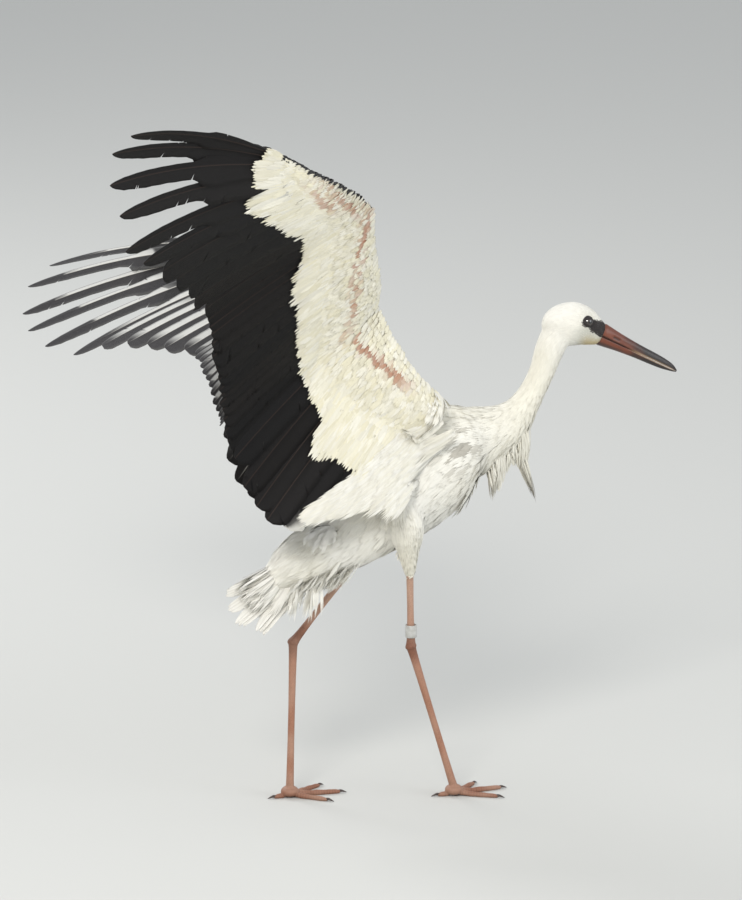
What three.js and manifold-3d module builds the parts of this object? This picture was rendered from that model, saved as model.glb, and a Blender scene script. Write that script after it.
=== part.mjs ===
// A white stork, life size, standing in a low walk with both wings raised.
// Units are millimetres. X points the way the bird faces, Y to its left, Z up.
// The bird stands on Z = 0. The finished group is moved so that its origin is the
// bottom centre of its bounding box.

import * as THREE from 'three';
import Module from 'manifold-3d';

const wasm = await Module();
wasm.setup();

// ---------------------------------------------------------------------------
// Driving dimensions
// ---------------------------------------------------------------------------

const GAP = 0.4;                      // space left between neighbouring solids

const BILL = { length: 138, slope: -27.8, halfHeight: 17, halfWidth: 12.5 };
const EYE_RADIUS = 8.5;
const FEATHER_HALF = 2.4;             // half-thickness of a feathered panel at its root
const VANE_HALF = 1.1;                // and at its edge

// Length of the flight feather that grows at each place along the wing.
// Place 0 is the shoulder, 1 the elbow, 2 the wrist and 3 the tip of the hand.
const FEATHER_LENGTH = [
  [0.00, 150], [0.25, 225], [0.45, 284], [0.75, 285], [0.90, 264], [1.00, 252], [1.25, 260], [1.50, 268],
  [1.94, 279], [2.10, 288], [2.32, 310], [2.43, 332], [2.54, 367], [2.64, 396], [2.74, 415],
  [2.83, 425], [2.92, 412], [3.00, 385],
];

const FINGERS_FROM = 2.485;           // place where the separate outer feathers begin
const EMARGINATION = 0.47;            // where a finger leaves the closed wing, as a share of its length
const FINGERS = [                     // place, and half-width of the narrow outer part
  { name: 'finger_1', place: 2.98, halfWidth: 9.5 },
  { name: 'finger_2', place: 2.92, halfWidth: 11 },
  { name: 'finger_3', place: 2.83, halfWidth: 12.5 },
  { name: 'finger_4', place: 2.74, halfWidth: 13 },
  { name: 'finger_5', place: 2.64, halfWidth: 14 },
  { name: 'finger_6', place: 2.54, halfWidth: 15 },
];

// The right wing is held up, almost upright. The left one reaches out, half folded.
// In both, the upper arm bone is about 200 long, the forearm 222 and the hand 195.
// 'fan' gives each feather's direction: degrees out from straight back, and degrees up.
const WINGS = {
  right: {
    side: -1,
    shoulder: [67, -60, 605], elbow: [-81, -84, 737], wrist: [-86, -185, 935], handTip: [-235, -261, 1035],
    fan: [
      [0.00, 22, -52], [0.45, 16, -45], [0.75, 12, -44], [1.00, 14, -35], [1.25, 12, -31], [1.50, 9, -32],
      [1.75, 8, -27], [2.00, 6, -26.5], [2.21, 17, -18.5], [2.43, 24, -12], [2.54, 27, -9], [2.64, 29, -6],
      [2.74, 32.5, 1], [2.83, 33, 6], [2.92, 33.5, 11], [3.00, 38, 15.5],
    ],
  },
  left: {
    side: 1,
    shoulder: [67, 60, 605], elbow: [-53, 126, 751], wrist: [64, 314, 736], handTip: [-52, 469, 754],
    fan: [
      [0.00, 0, -55], [0.45, -4, -54], [0.75, -7, -51], [1.00, -8, -49], [1.25, -15, -42], [1.50, -17, -31],
      [1.75, -13, -24], [2.00, -7, -21], [2.21, 1, -21], [2.43, 11, -22], [2.54, 16, -24], [2.64, 24, -22.5],
      [2.74, 33, -20.5], [2.83, 41, -18.5], [2.92, 47, -14.5], [3.00, 58, -11],
    ],
  },
};

// Legs: the right one carries the bird in front, the left one trails behind.
const LEGS = {
  right: {
    side: -1, hip: [8, -42, 468], knee: [22, -52, 428], bare: [33, -38, 350],
    ankle: [35, -38, 238], foot: [104, -38, 12], heading: 4,
  },
  left: {
    side: 1, hip: [-6, 42, 450], knee: [-16, 50, 398], bare: [-50, 38, 326],
    ankle: [-124, 38, 240], foot: [-130, 38, 12], heading: -6,
  },
};
const TOES = [                        // length and direction from the foot's heading, inner side positive
  { name: 'toe_middle', length: 76, turn: 0, radius: 4.4 },
  { name: 'toe_inner', length: 60, turn: 36, radius: 4.1 },
  { name: 'toe_outer', length: 66, turn: -36, radius: 4.1 },
  { name: 'toe_hind', length: 24, turn: 172, radius: 3.8 },
];
const CLAW_LENGTH = 11;
const CLAW_CLEARANCE = 0.2;           // height of the claws over the floor
const PALM = [13.5, 13.5, 8.4];       // half-sizes of the pad where the toes meet
const PALM_HEIGHT = 9;                // and the height of its centre

const TAIL = { root: [-90, 0, 392], length: 174, pitch: -34, roll: 38, halfFan: 20, feathers: 12 };

// ---------------------------------------------------------------------------
// Materials
// ---------------------------------------------------------------------------

function material(color, roughness, metalness = 0) {
  return new THREE.MeshStandardMaterial({ color, roughness, metalness });
}
const WHITE_PLUMAGE = () => material(0xe9e4d6, 0.9);
const BLACK_PLUMAGE = () => material(0x1d1b1c, 0.7);
const BILL_HORN = () => material(0x7a4a38, 0.5);
const LEG_SKIN = () => material(0xb0765c, 0.65);
const CLAW_HORN = () => material(0x4a3a34, 0.5);
const EYE_DARK = () => material(0x14100e, 0.1);
const RING_PLASTIC = () => material(0xc4c6c4, 0.5);

// ---------------------------------------------------------------------------
// Small tools
// ---------------------------------------------------------------------------

const vec = (p) => new THREE.Vector3(...p);
const lerp = THREE.MathUtils.lerp;
const radians = THREE.MathUtils.degToRad;
const UP = new THREE.Vector3(0, 0, 1);
const SIDE = new THREE.Vector3(0, 1, 0);

/** Smooth value at t of a table of [place, value, value...] rows; column picks the value. */
function along(table, t, column = 1) {
  let i = 0;
  while (i < table.length - 2 && t > table[i + 1][0]) i += 1;
  const row = (k) => table[Math.min(Math.max(k, 0), table.length - 1)];
  const [a, b, c, d] = [row(i - 1), row(i), row(i + 1), row(i + 2)];
  const span = c[0] - b[0];
  const f = THREE.MathUtils.clamp((t - b[0]) / span, 0, 1);
  const slopeB = c[0] > a[0] ? (c[column] - a[column]) / (c[0] - a[0]) * span : 0;
  const slopeC = d[0] > b[0] ? (d[column] - b[column]) / (d[0] - b[0]) * span : 0;
  const f2 = f * f;
  const f3 = f2 * f;
  return (2 * f3 - 3 * f2 + 1) * b[column] + (f3 - 2 * f2 + f) * slopeB
    + (-2 * f3 + 3 * f2) * c[column] + (f3 - f2) * slopeC;
}

/** Closed solid through rings of points. Both end rings are closed flat, in strips. */
function loft(rings) {
  const n = rings[0].length;
  const positions = rings.flat().flatMap((p) => p.toArray());
  const triangles = [];
  for (let r = 0; r < rings.length - 1; r += 1) {
    for (let i = 0; i < n; i += 1) {
      const j = (i + 1) % n;
      const [a, b, c, d] = [r * n + i, r * n + j, (r + 1) * n + j, (r + 1) * n + i];
      triangles.push(a, b, c, a, c, d);
    }
  }
  for (const [base, turned] of [[0, true], [(rings.length - 1) * n, false]]) {
    let [low, high] = [0, n - 1];
    while (high - low > 1) {
      const tri = (high + low) % 2 === (n - 1) % 2 ? [low, low + 1, high] : [low, high - 1, high];
      if ((high + low) % 2 === (n - 1) % 2) low += 1;
      else high -= 1;
      triangles.push(...(turned ? tri.reverse() : tri).map((k) => base + k));
    }
  }
  const geometry = new THREE.BufferGeometry();
  geometry.setAttribute('position', new THREE.Float32BufferAttribute(positions, 3));
  geometry.setIndex(triangles);
  return geometry;
}

/** Volume of a closed geometry, negative when its faces point in. */
function signedVolume(geometry) {
  const p = geometry.getAttribute('position');
  const index = geometry.getIndex().array;
  const [a, b, c] = [new THREE.Vector3(), new THREE.Vector3(), new THREE.Vector3()];
  let volume = 0;
  for (let i = 0; i < index.length; i += 3) {
    a.fromBufferAttribute(p, index[i]);
    b.fromBufferAttribute(p, index[i + 1]);
    c.fromBufferAttribute(p, index[i + 2]);
    volume += a.dot(b.cross(c)) / 6;
  }
  return volume;
}

/** Manifold solid of a closed geometry, with its faces pointing out. */
function solid(geometry) {
  const triangles = Array.from(geometry.getIndex().array);
  if (signedVolume(geometry) < 0) triangles.reverse();
  return new wasm.Manifold(new wasm.Mesh({
    numProp: 3,
    vertProperties: new Float32Array(geometry.getAttribute('position').array),
    triVerts: new Uint32Array(triangles),
  }));
}

/** The largest connected piece of a solid. */
function largest(body) {
  return body.decompose().sort((a, b) => b.volume() - a.volume())[0];
}

/** Named mesh of a Manifold solid. */
function node(name, body, makeMaterial) {
  const mesh = largest(body).getMesh();
  const geometry = new THREE.BufferGeometry();
  geometry.setAttribute('position', new THREE.Float32BufferAttribute(mesh.vertProperties, 3));
  geometry.setIndex(new THREE.Uint32BufferAttribute(mesh.triVerts, 1));
  const result = new THREE.Mesh(geometry, makeMaterial());
  result.name = name;
  return result;
}

/**
 * Round limb along a smooth line. Each station is [x, y, z, radius, width factor];
 * grow makes it fatter and longer, for cutting a neighbour clear of it.
 */
function limb(stations, { sides = 14, steps = 2, grow = 0 } = {}) {
  const table = stations.map((row, i) => [i, ...row]);
  const last = stations.length - 1;
  const at = (t, column) => along(table, t, column);
  const centre = (t) => new THREE.Vector3(at(t, 1), at(t, 2), at(t, 3));
  const rings = [];
  for (let k = 0; k <= last * steps; k += 1) {
    const t = k / steps;
    const tangent = centre(Math.min(t + 0.05, last)).sub(centre(Math.max(t - 0.05, 0))).normalize();
    const across = Math.abs(tangent.y) > 0.9 ? new THREE.Vector3(1, 0, 0) : SIDE.clone();
    across.addScaledVector(tangent, -across.dot(tangent)).normalize();
    const over = new THREE.Vector3().crossVectors(tangent, across);
    const middle = centre(t);
    if (k === 0) middle.addScaledVector(tangent, -grow);
    if (k === last * steps) middle.addScaledVector(tangent, grow);
    const radius = at(t, 4) + grow;
    const width = at(t, 4) * (stations[0].length > 4 ? at(t, 5) : 1) + grow;
    rings.push(Array.from({ length: sides }, (_, i) => {
      const angle = (2 * Math.PI * (i + 0.5)) / sides;
      return middle.clone()
        .addScaledVector(across, width * Math.cos(angle))
        .addScaledVector(over, radius * Math.sin(angle));
    }));
  }
  return solid(loft(rings));
}

/** Ball, stretched along X, Y and Z. */
function ball(centre, [rx, ry, rz], rows = 10) {
  const rings = [];
  for (let k = 0; k <= rows; k += 1) {
    const polar = lerp(0.12, Math.PI - 0.12, k / rows);
    rings.push(Array.from({ length: rows * 2 }, (_, i) => {
      const angle = (Math.PI * i) / rows;
      return vec(centre).add(new THREE.Vector3(
        rx * Math.sin(polar) * Math.cos(angle),
        ry * Math.sin(polar) * Math.sin(angle),
        rz * Math.cos(polar),
      ));
    }));
  }
  return solid(loft(rings));
}

/** Part of a body on the positive side of a plane through a point. */
function keepBeyond(body, point, normal) {
  const n = normal.clone().normalize();
  return body.trimByPlane(n.toArray(), n.dot(point));
}

// ---------------------------------------------------------------------------
// Trunk, neck and head
// ---------------------------------------------------------------------------

// x, y, z of the middle, half-height, and half-width as a share of it.
const TRUNK_LINE = [
  [186, 0, 524, 10, 1.0], [166, 0, 526, 38, 0.98], [130, 0, 528, 69, 0.92], [95, 0, 515, 82, 0.9],
  [45, 0, 480, 84, 0.86], [-10, 0, 440, 74, 0.86], [-55, 0, 404, 57, 0.9], [-84, 0, 384, 43, 0.98],
];
const trunk = (grow = 0) => limb(TRUNK_LINE, { sides: 16, grow });

const NECK_LINE = [
  [112, 0, 524, 56, 0.9], [150, 0, 536, 57, 0.86], [185, 0, 547, 47, 0.84], [208, 0, 561, 38, 0.84],
  [224, 0, 578, 29, 0.88], [241, 0, 603, 23.5, 0.9], [256, 0, 632, 22.5, 0.9], [268, 0, 664, 25, 0.9],
  [282, 0, 692, 26, 0.9],
];
const NECK_CUTS = [3.6, 5.7];         // stations where the neck is parted

const HEAD_LINE = [
  [256, 0, 699, 4, 1.0], [260, 0, 700, 13, 0.9], [271, 0, 702, 24.5, 0.84], [287, 0, 703, 31.5, 0.82],
  [304, 0, 701, 34.5, 0.8], [320, 0, 696.5, 31.5, 0.79], [336, 0, 688.5, 24.5, 0.77], [350, 0, 681.5, 17.8, 0.75],
];
const EYE_CENTRE = [321, 19.2, 707];
const BILL_BASE = [352, 0, 681];

const BILL_DIRECTION = new THREE.Vector3(Math.cos(radians(BILL.slope)), 0, Math.sin(radians(BILL.slope)));
const GAPE_BELOW_AXIS = 2;            // how far the line between the jaws lies under the bill's axis
const BILL_SOCKET = 2;                // depth to which the bill is set into the skull

const head = (grow = 0) => limb(HEAD_LINE, { sides: 14, steps: 1, grow });
const eyeBall = (centre, grow = 0) => ball(centre, [1, 1, 1].map(() => EYE_RADIUS + grow), 5);

function headNodes() {
  const eyes = [-1, 1].map((side) => [EYE_CENTRE[0], side * EYE_CENTRE[1], EYE_CENTRE[2]]);
  let skull = head();
  for (const centre of eyes) skull = skull.subtract(eyeBall(centre, GAP));
  const socket = vec(BILL_BASE).addScaledVector(BILL_DIRECTION, -BILL_SOCKET);
  skull = skull.subtract(keepBeyond(bill(BILL_SOCKET), socket, BILL_DIRECTION));
  const cutSkull = keepBeyond(skull, vec(BILL_BASE), BILL_DIRECTION.clone().negate());
  const [right, left] = eyes.map((centre) => eyeBall(centre));
  return [
    node('head', cutSkull, WHITE_PLUMAGE),
    node('eye_right', right, EYE_DARK),
    node('eye_left', left, EYE_DARK),
  ];
}

/** The closed bill: deepest at its base, its edges straight, the tip fine. */
function bill(reach = 0) {
  const taper = [
    [0.1, 0.9], [0.2, 0.8], [0.35, 0.69], [0.5, 0.6], [0.65, 0.54], [0.8, 0.46], [0.9, 0.34], [0.96, 0.22],
    [1, 0.08],
  ];
  const profile = [[-reach - 0.001, 1], ...taper.map(([share, size]) => [share * BILL.length, size])];
  const stations = profile.map(([distance, size]) => {
    const p = vec(BILL_BASE).addScaledVector(BILL_DIRECTION, distance);
    return [p.x, 0, p.z, BILL.halfHeight * size, BILL.halfWidth / BILL.halfHeight];
  });
  return limb(stations, { sides: 12, steps: 1 });
}

function billNodes() {
  const whole = keepBeyond(bill(), vec(BILL_BASE).addScaledVector(BILL_DIRECTION, GAP), BILL_DIRECTION);
  const up = new THREE.Vector3(-BILL_DIRECTION.z, 0, BILL_DIRECTION.x);
  const gape = vec(BILL_BASE).addScaledVector(up, -GAPE_BELOW_AXIS);
  const upper = keepBeyond(whole, gape.clone().addScaledVector(up, GAP / 2), up);
  const lower = keepBeyond(whole, gape.clone().addScaledVector(up, -GAP / 2), up.clone().negate());
  return [node('bill_upper', upper, BILL_HORN), node('bill_lower', lower, BILL_HORN)];
}

/** Long pointed feather bunch that hangs from the breast. */
const plume = (from, to, radius) => limb(
  [[...from, radius], [...vec(from).lerp(vec(to), 0.55).toArray(), radius * 0.62], [...to, 1.2]],
  { sides: 6, steps: 1 },
);

function neckNodes() {
  const whole = limb(NECK_LINE, { sides: 12, steps: 1 });
  const table = NECK_LINE.map((row, i) => [i, ...row]);
  const point = (t) => new THREE.Vector3(along(table, t, 1), 0, along(table, t, 3));
  const [low, high] = NECK_CUTS.map((t) => {
    const normal = point(t + 0.1).sub(point(t - 0.1)).normalize();
    const [below, above] = [-GAP / 2, GAP / 2].map((shift) => point(t).addScaledVector(normal, shift));
    return { below, above, normal };
  });
  const back = (cut) => cut.normal.clone().negate();
  const lower = keepBeyond(whole, low.below, back(low))
    .add(plume([208, -6, 508], [247, -8, 430], 13))
    .add(plume([172, -22, 502], [168, -26, 447], 12))
    .add(plume([192, -14, 500], [197, -17, 462], 10))
    .subtract(trunk(GAP));
  const aboveLow = keepBeyond(whole, low.above, low.normal);
  const middle = keepBeyond(aboveLow, high.below, back(high));
  const upper = keepBeyond(whole, high.above, high.normal).subtract(head(GAP));
  return [
    node('neck_lower', lower, WHITE_PLUMAGE),
    node('neck_middle', middle, WHITE_PLUMAGE),
    node('neck_upper', upper, WHITE_PLUMAGE),
  ];
}

// ---------------------------------------------------------------------------
// Tail
// ---------------------------------------------------------------------------

const COVERT_LINE = [
  [-66, 0, 402, 49, 0.96], [-94, 0, 389, 52, 0.92], [-121, 0, 377, 50, 0.9], [-148, 0, 362, 41, 0.95],
  [-168, 0, 348, 28, 1.0], [-184, 0, 336, 13, 1.3],
];
const TAIL_START = 34;                // distance from the root at which the fan begins, under the coverts
const TAIL_DROOP = 10;                // how far the outer tail feathers lie below the middle ones
const TAIL_NOTCH = 0.86;              // reach of the fan between two tips, as a share of the tips'

/** Place on the tail's fan: turn is the angle from its middle, out the distance from the root. */
function tailPoint(turn, out, lift = 0) {
  const p = new THREE.Vector3(-out * Math.cos(radians(turn)), out * Math.sin(radians(turn)), lift);
  const pose = new THREE.Euler(radians(TAIL.roll), radians(TAIL.pitch), 0, 'YXZ');
  return p.applyEuler(pose).add(vec(TAIL.root));
}

function tailNodes() {
  const coverts = limb(COVERT_LINE, { sides: 14, steps: 1 }).subtract(trunk(GAP));
  const shares = [0, 0.5, 1];
  const rings = [];
  const columns = TAIL.feathers * 2;
  for (let k = 0; k <= columns; k += 1) {
    const turn = lerp(-TAIL.halfFan, TAIL.halfFan, k / columns);
    const outer = (turn / TAIL.halfFan) ** 2;
    const reach = TAIL.length * (k % 2 ? 1 : TAIL_NOTCH) * (1 - 0.05 * outer);
    const edge = (lift) => shares.map((f) => (
      tailPoint(turn, lerp(TAIL_START, reach, f), lift - TAIL_DROOP * outer)
    ));
    rings.push([...edge(FEATHER_HALF / 2), ...edge(-FEATHER_HALF / 2).reverse()]);
  }
  const fan = solid(loft(rings)).subtract(limb(COVERT_LINE, { sides: 14, steps: 1, grow: GAP }));
  return [node('tail_coverts', coverts, WHITE_PLUMAGE), node('tail_feathers', fan, WHITE_PLUMAGE)];
}

// ---------------------------------------------------------------------------
// Legs and feet
// ---------------------------------------------------------------------------

function legNodes(name, leg) {
  const [bare, ankle, foot] = [leg.bare, leg.ankle, leg.foot].map(vec);
  const shinDirection = ankle.clone().sub(bare).normalize();
  const thighLine = [
    [...leg.hip, 38, 0.8], [...leg.knee, 31, 0.8],
    [...vec(leg.knee).lerp(bare, 0.6).toArray(), 17, 0.9], [...bare.toArray(), 9, 0.95],
  ];
  const feathered = limb(thighLine, { sides: 10 }).subtract(trunk(GAP));
  const thigh = keepBeyond(feathered, bare, shinDirection.clone().negate());

  const knob = ankle.clone().addScaledVector(shinDirection, -9);
  const shin = (grow) => limb([
    [...bare.clone().addScaledVector(shinDirection, GAP).toArray(), 5.6, 0.9],
    [...bare.clone().lerp(knob, 0.5).toArray(), 5.2, 0.9],
    [...knob.toArray(), 7, 1],
    [...ankle.toArray(), 8.4, 1],
  ], { sides: 8, steps: 1, grow });

  const down = foot.clone().sub(ankle).normalize();
  const tarsusLine = [
    [...ankle.clone().addScaledVector(down, -5).toArray(), 5, 1], [...ankle.toArray(), 9, 0.95],
    [...ankle.clone().addScaledVector(down, 14).toArray(), 6.6, 0.85],
    [...ankle.clone().lerp(foot, 0.5).toArray(), 5.2, 0.85],
    [...foot.clone().addScaledVector(down, -16).toArray(), 6, 1], [...foot.toArray(), 7.4, 1],
  ];
  const palmCentre = [foot.x, foot.y, PALM_HEIGHT];
  const tarsus = limb(tarsusLine, { sides: 8, steps: 1 }).add(ball(palmCentre, PALM, 5));
  const knobCut = limb(tarsusLine, { sides: 8, steps: 1, grow: GAP });

  const group = new THREE.Group();
  group.add(
    node(`thigh_${name}`, thigh, WHITE_PLUMAGE),
    node(`shin_${name}`, shin(0).subtract(knobCut), LEG_SKIN),
    node(`tarsus_${name}`, tarsus, LEG_SKIN),
  );

  // Toes and claws are made along +X and turned about the foot.
  const footGroup = new THREE.Group();
  footGroup.position.set(foot.x, foot.y, 0);
  footGroup.rotation.z = radians(leg.heading);
  const palmHere = ball([0, 0, PALM_HEIGHT], PALM.map((r) => r + 2 * GAP), 8);
  for (const { name: toeName, length, turn, radius } of TOES) {
    const toe = limb([
      [Math.min(12, length * 0.2), 0, 7, radius, 0.86], [length * 0.35, 0, radius * 0.8, radius, 1.05],
      [length * 0.7, 0, radius * 0.76, radius * 0.95, 1.05], [length, 0, radius * 0.64, radius * 0.78, 1],
    ], { sides: 7, steps: 1 }).subtract(palmHere);
    const sole = keepBeyond(toe, new THREE.Vector3(), UP);
    const claw = keepBeyond(limb([
      [length + GAP, 0, radius * 0.7, 2.6, 0.9], [length + CLAW_LENGTH * 0.55, 0, 2.5, 1.9, 0.8],
      [length + CLAW_LENGTH, 0, 1.1, 0.5, 1],
    ], { sides: 6, steps: 1 }), new THREE.Vector3(0, 0, CLAW_CLEARANCE), UP);
    const toeGroup = new THREE.Group();
    toeGroup.rotation.z = radians(-leg.side * turn);
    toeGroup.add(
      node(`${toeName}_${name}`, sole, LEG_SKIN),
      node(`${toeName.replace('toe', 'claw')}_${name}`, claw, CLAW_HORN),
    );
    footGroup.add(toeGroup);
  }
  group.add(footGroup);
  return group;
}

const RING = { inner: 7.4, outer: 8.6, height: 19, aboveAnkle: 15 };

/** Plain plastic ring worn just above the right ankle. */
function ringNode() {
  const { inner, outer, height, aboveAnkle } = RING;
  const profile = [
    new THREE.Vector2(inner, 0), new THREE.Vector2(outer, 0),
    new THREE.Vector2(outer, height), new THREE.Vector2(inner, height), new THREE.Vector2(inner, 0),
  ];
  const ring = new THREE.Mesh(new THREE.LatheGeometry(profile, 14), RING_PLASTIC());
  ring.name = 'leg_ring';
  ring.rotation.x = Math.PI / 2;
  ring.position.copy(vec(LEGS.right.ankle)).addScaledVector(UP, aboveAnkle);
  return ring;
}

// ---------------------------------------------------------------------------
// Wings
// ---------------------------------------------------------------------------

const BOW_UP = 7;                     // how far a feather's middle stands above its ends
const BOW_FORWARD = 15;               // and how far it bows towards the leading edge, in the hand
const MID_CHORD = 110;                // distance behind the bone at which the wing's face is taken

/** The wing's plan: bone line, leading edge, feather lines and the face direction at each place. */
class WingPlan {
  constructor(pose) {
    this.pose = pose;
    this.joints = [pose.shoulder, pose.elbow, pose.wrist, pose.handTip].map(vec);
  }

  bone(place) {
    const i = Math.min(Math.floor(place), 2);
    return this.joints[i].clone().lerp(this.joints[i + 1], place - i);
  }

  /** Direction in which the feather at this place points. */
  direction(place) {
    const out = radians(along(this.pose.fan, place, 1));
    const rise = radians(along(this.pose.fan, place, 2));
    return new THREE.Vector3(
      -Math.cos(rise) * Math.cos(out),
      this.pose.side * Math.cos(rise) * Math.sin(out),
      Math.sin(rise),
    );
  }

  /** Unit vector out of the wing's upper face. */
  face(place) {
    const [low, high] = [Math.max(place - 0.35, 0), Math.min(place + 0.35, 3)];
    const chord = (s) => this.bone(s).addScaledVector(this.direction(s), MID_CHORD);
    const spanwise = chord(high).sub(chord(low)).normalize();
    return new THREE.Vector3()
      .crossVectors(spanwise, this.direction(place))
      .multiplyScalar(this.pose.side)
      .normalize();
  }

  length(place) {
    return along(FEATHER_LENGTH, place);
  }

  /**
   * Point at a distance behind the bone along the feather line, raised off the wing's middle
   * surface by lift. Feathers bow between root and tip: forward in the hand, and up.
   */
  point(place, distance, lift = 0) {
    const share = Math.max(distance, 0) / this.length(place);
    const arch = 4 * share * (1 - share);
    const along3 = this.direction(place);
    const face = this.face(place);
    const forward = new THREE.Vector3().crossVectors(face, along3).multiplyScalar(this.pose.side);
    const handShare = THREE.MathUtils.smoothstep(place, 2, 3);
    return this.bone(place)
      .addScaledVector(along3, distance)
      .addScaledVector(face, lift + arch * BOW_UP)
      .addScaledVector(forward, -arch * BOW_FORWARD * handShare);
  }
}

/** Closed slab of the wing between two places, with its own front, back and half-thickness. */
function wingSlab(plan, places, shares, front, back, half) {
  const rings = places.map((place) => {
    const edge = (sign) => shares.map((f) => {
      const distance = lerp(front(place), back(place), f);
      return plan.point(place, distance, sign * half(place, distance, f));
    });
    return [...edge(1), ...edge(-1).reverse()];
  });
  return solid(loft(rings));
}

// Half-width of a finger along its length, as a share of the full half-width.
const FINGER_OUTLINE = [[0, 1], [0.6, 0.94], [0.85, 0.68], [0.96, 0.36], [1, 0.12]];

const FINGER_SHARE = 0.46;            // most of the space to the next finger that one half takes
const FINGER_LAP = 12;                // how far a finger starts inside the closed wing before it is cut there

const range = (from, to, count) => Array.from({ length: count + 1 }, (_, i) => lerp(from, to, i / count));

// How far the leading edge lies ahead of the bone: the skin between shoulder and wrist.
const LEAD = [
  [0, 20], [0.25, 22], [0.5, 31], [0.75, 46], [1, 62], [1.25, 56], [1.5, 38], [1.75, 22],
  [2, 13], [2.25, 19], [2.6, 16], [3, 10],
];
// How far the thick, fleshy and closely feathered part reaches behind the bone.
const ARM_BACK = [[0, 60], [0.5, 80], [1, 64], [1.5, 62], [2, 60], [2.5, 52], [3, 40]];
// Half-thickness of that part, and its shape across the chord.
const ARM_HALF = [[0, 30], [0.3, 22], [0.7, 15], [1, 13], [1.5, 10.5], [2, 9.5], [2.5, 7], [3, 4.5]];
const ARM_SECTION = [[0, 0.28], [0.1, 0.62], [0.35, 1], [0.6, 0.8], [1, 0]];

function wingNodes(name, pose) {
  const plan = new WingPlan(pose);
  const lead = (place) => -along(LEAD, place);
  const armBack = (place) => along(ARM_BACK, place);
  const armShares = [0, 0.12, 0.4, 0.7, 1];
  const airfoil = (place, distance, f) => (
    lerp(FEATHER_HALF, along(ARM_HALF, place), along(ARM_SECTION, f))
  );
  const arm = (from, to, count) => wingSlab(plan, range(from, to, count), armShares, lead, armBack, airfoil);
  const seam = 0.002;

  const panelFront = (place) => armBack(place) + 3 * GAP;
  const thin = (f) => lerp(FEATHER_HALF, VANE_HALF, Math.min(f * 1.6, 1));
  const panelShares = [0, 0.3, 0.7, 1];
  /** Closed row of feathers with a scalloped edge: each tip stands out, the joins are notched. */
  const panel = (from, to, feathers, notch, reach, grow = 0) => {
    const places = range(from, to, feathers * 2);
    const back = (place) => {
      const k = Math.round(((place - from) / (to - from)) * feathers * 2);
      return reach(place) * (k % 2 ? 1 : 1 - notch) + grow;
    };
    const half = (place, distance, f) => thin(f) + grow;
    const wider = grow * 0.02;
    const ends = [from - wider, ...places.slice(1, -1), to + wider];
    return wingSlab(plan, ends, panelShares, panelFront, back, half);
  };
  const fullLength = (place) => plan.length(place);
  const fingerStart = (place) => plan.length(place) * (EMARGINATION + 0.06 * (3 - place));
  const body = trunk(GAP);
  const inner = (grow) => panel(2 + seam, FINGERS_FROM - seam, 5, 0.09, fullLength, grow);
  const outer = (grow) => panel(FINGERS_FROM + seam, 3.0, 6, 0, fingerStart, grow);
  const fingerRoots = outer(GAP).add(inner(GAP));

  const group = new THREE.Group();
  group.add(
    node(`upper_arm_${name}`, arm(0.0, 1 - seam, 6).subtract(body), WHITE_PLUMAGE),
    node(`forearm_${name}`, arm(1 + seam, 2 - seam, 8), WHITE_PLUMAGE),
    node(`hand_${name}`, arm(2 + seam, 3, 5), WHITE_PLUMAGE),
    node(`tertials_${name}`, panel(0.04, 1 - seam, 8, 0.05, fullLength).subtract(body), BLACK_PLUMAGE),
    node(`secondaries_${name}`, panel(1 + seam, 2 - seam, 14, 0.035, fullLength), BLACK_PLUMAGE),
    node(`primaries_inner_${name}`, inner(0), BLACK_PLUMAGE),
    node(`primaries_outer_${name}`, outer(0), BLACK_PLUMAGE),
  );

  for (const { name: fingerName, place, halfWidth } of FINGERS) {
    const start = fingerStart(place) - FINGER_LAP;
    const length = plan.length(place);
    const rings = [0, 0.25, 0.6, 0.85, 0.96, 1].map((f) => {
      const distance = lerp(start, length, f);
      const centre = plan.point(place, distance);
      const ahead = plan.point(place, distance + 2);
      const tangent = ahead.sub(centre).normalize();
      const across = new THREE.Vector3().crossVectors(plan.face(place), tangent).normalize();
      const spacings = FINGERS.filter((other) => other.place !== place)
        .map((other) => Math.abs(plan.point(other.place, distance).sub(centre).dot(across)));
      const width = Math.min(halfWidth, FINGER_SHARE * Math.min(...spacings)) * along(FINGER_OUTLINE, f);
      return [[1, 1], [1, -1], [-1, -1], [-1, 1]].map(([sideways, up]) => centre.clone()
        .addScaledVector(across, sideways * width)
        .addScaledVector(plan.face(place), up * lerp(VANE_HALF, 0.8, f)));
    });
    group.add(node(`${fingerName}_${name}`, solid(loft(rings)).subtract(fingerRoots), BLACK_PLUMAGE));
  }
  return group;
}

// ---------------------------------------------------------------------------
// The whole bird
// ---------------------------------------------------------------------------

function stork() {
  const bird = new THREE.Group();
  bird.add(...headNodes(), ...billNodes(), ...neckNodes(), ...tailNodes());
  for (const [name, pose] of Object.entries(WINGS)) bird.add(wingNodes(name, pose));
  for (const [name, leg] of Object.entries(LEGS)) bird.add(legNodes(name, leg));
  bird.add(ringNode(), node('trunk', trunk(), WHITE_PLUMAGE));
  bird.updateMatrixWorld(true);
  const box = new THREE.Box3().setFromObject(bird, true);
  bird.position.set(-(box.min.x + box.max.x) / 2, -(box.min.y + box.max.y) / 2, -box.min.z);
  return bird;
}

const group = stork();
export default group;
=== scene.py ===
"""A white stork, life size, in a low walk with its wings raised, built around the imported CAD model.

One skin stands for the flesh of body, wings and legs. Feathers grow over it as closed meshes:
tufts of blades on the body, rows of coverts on the wings, and a modelled quill for each flight
and tail feather. Bill, eyes, claws and leg ring are pieces of their own.

Shapes are worked out in the bird's own frame, in millimetres: X points the way it faces,
Y to its left and Z up, with the origin on the floor. place() turns them into the frame's metres.
"""
import math
from functools import partial

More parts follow.
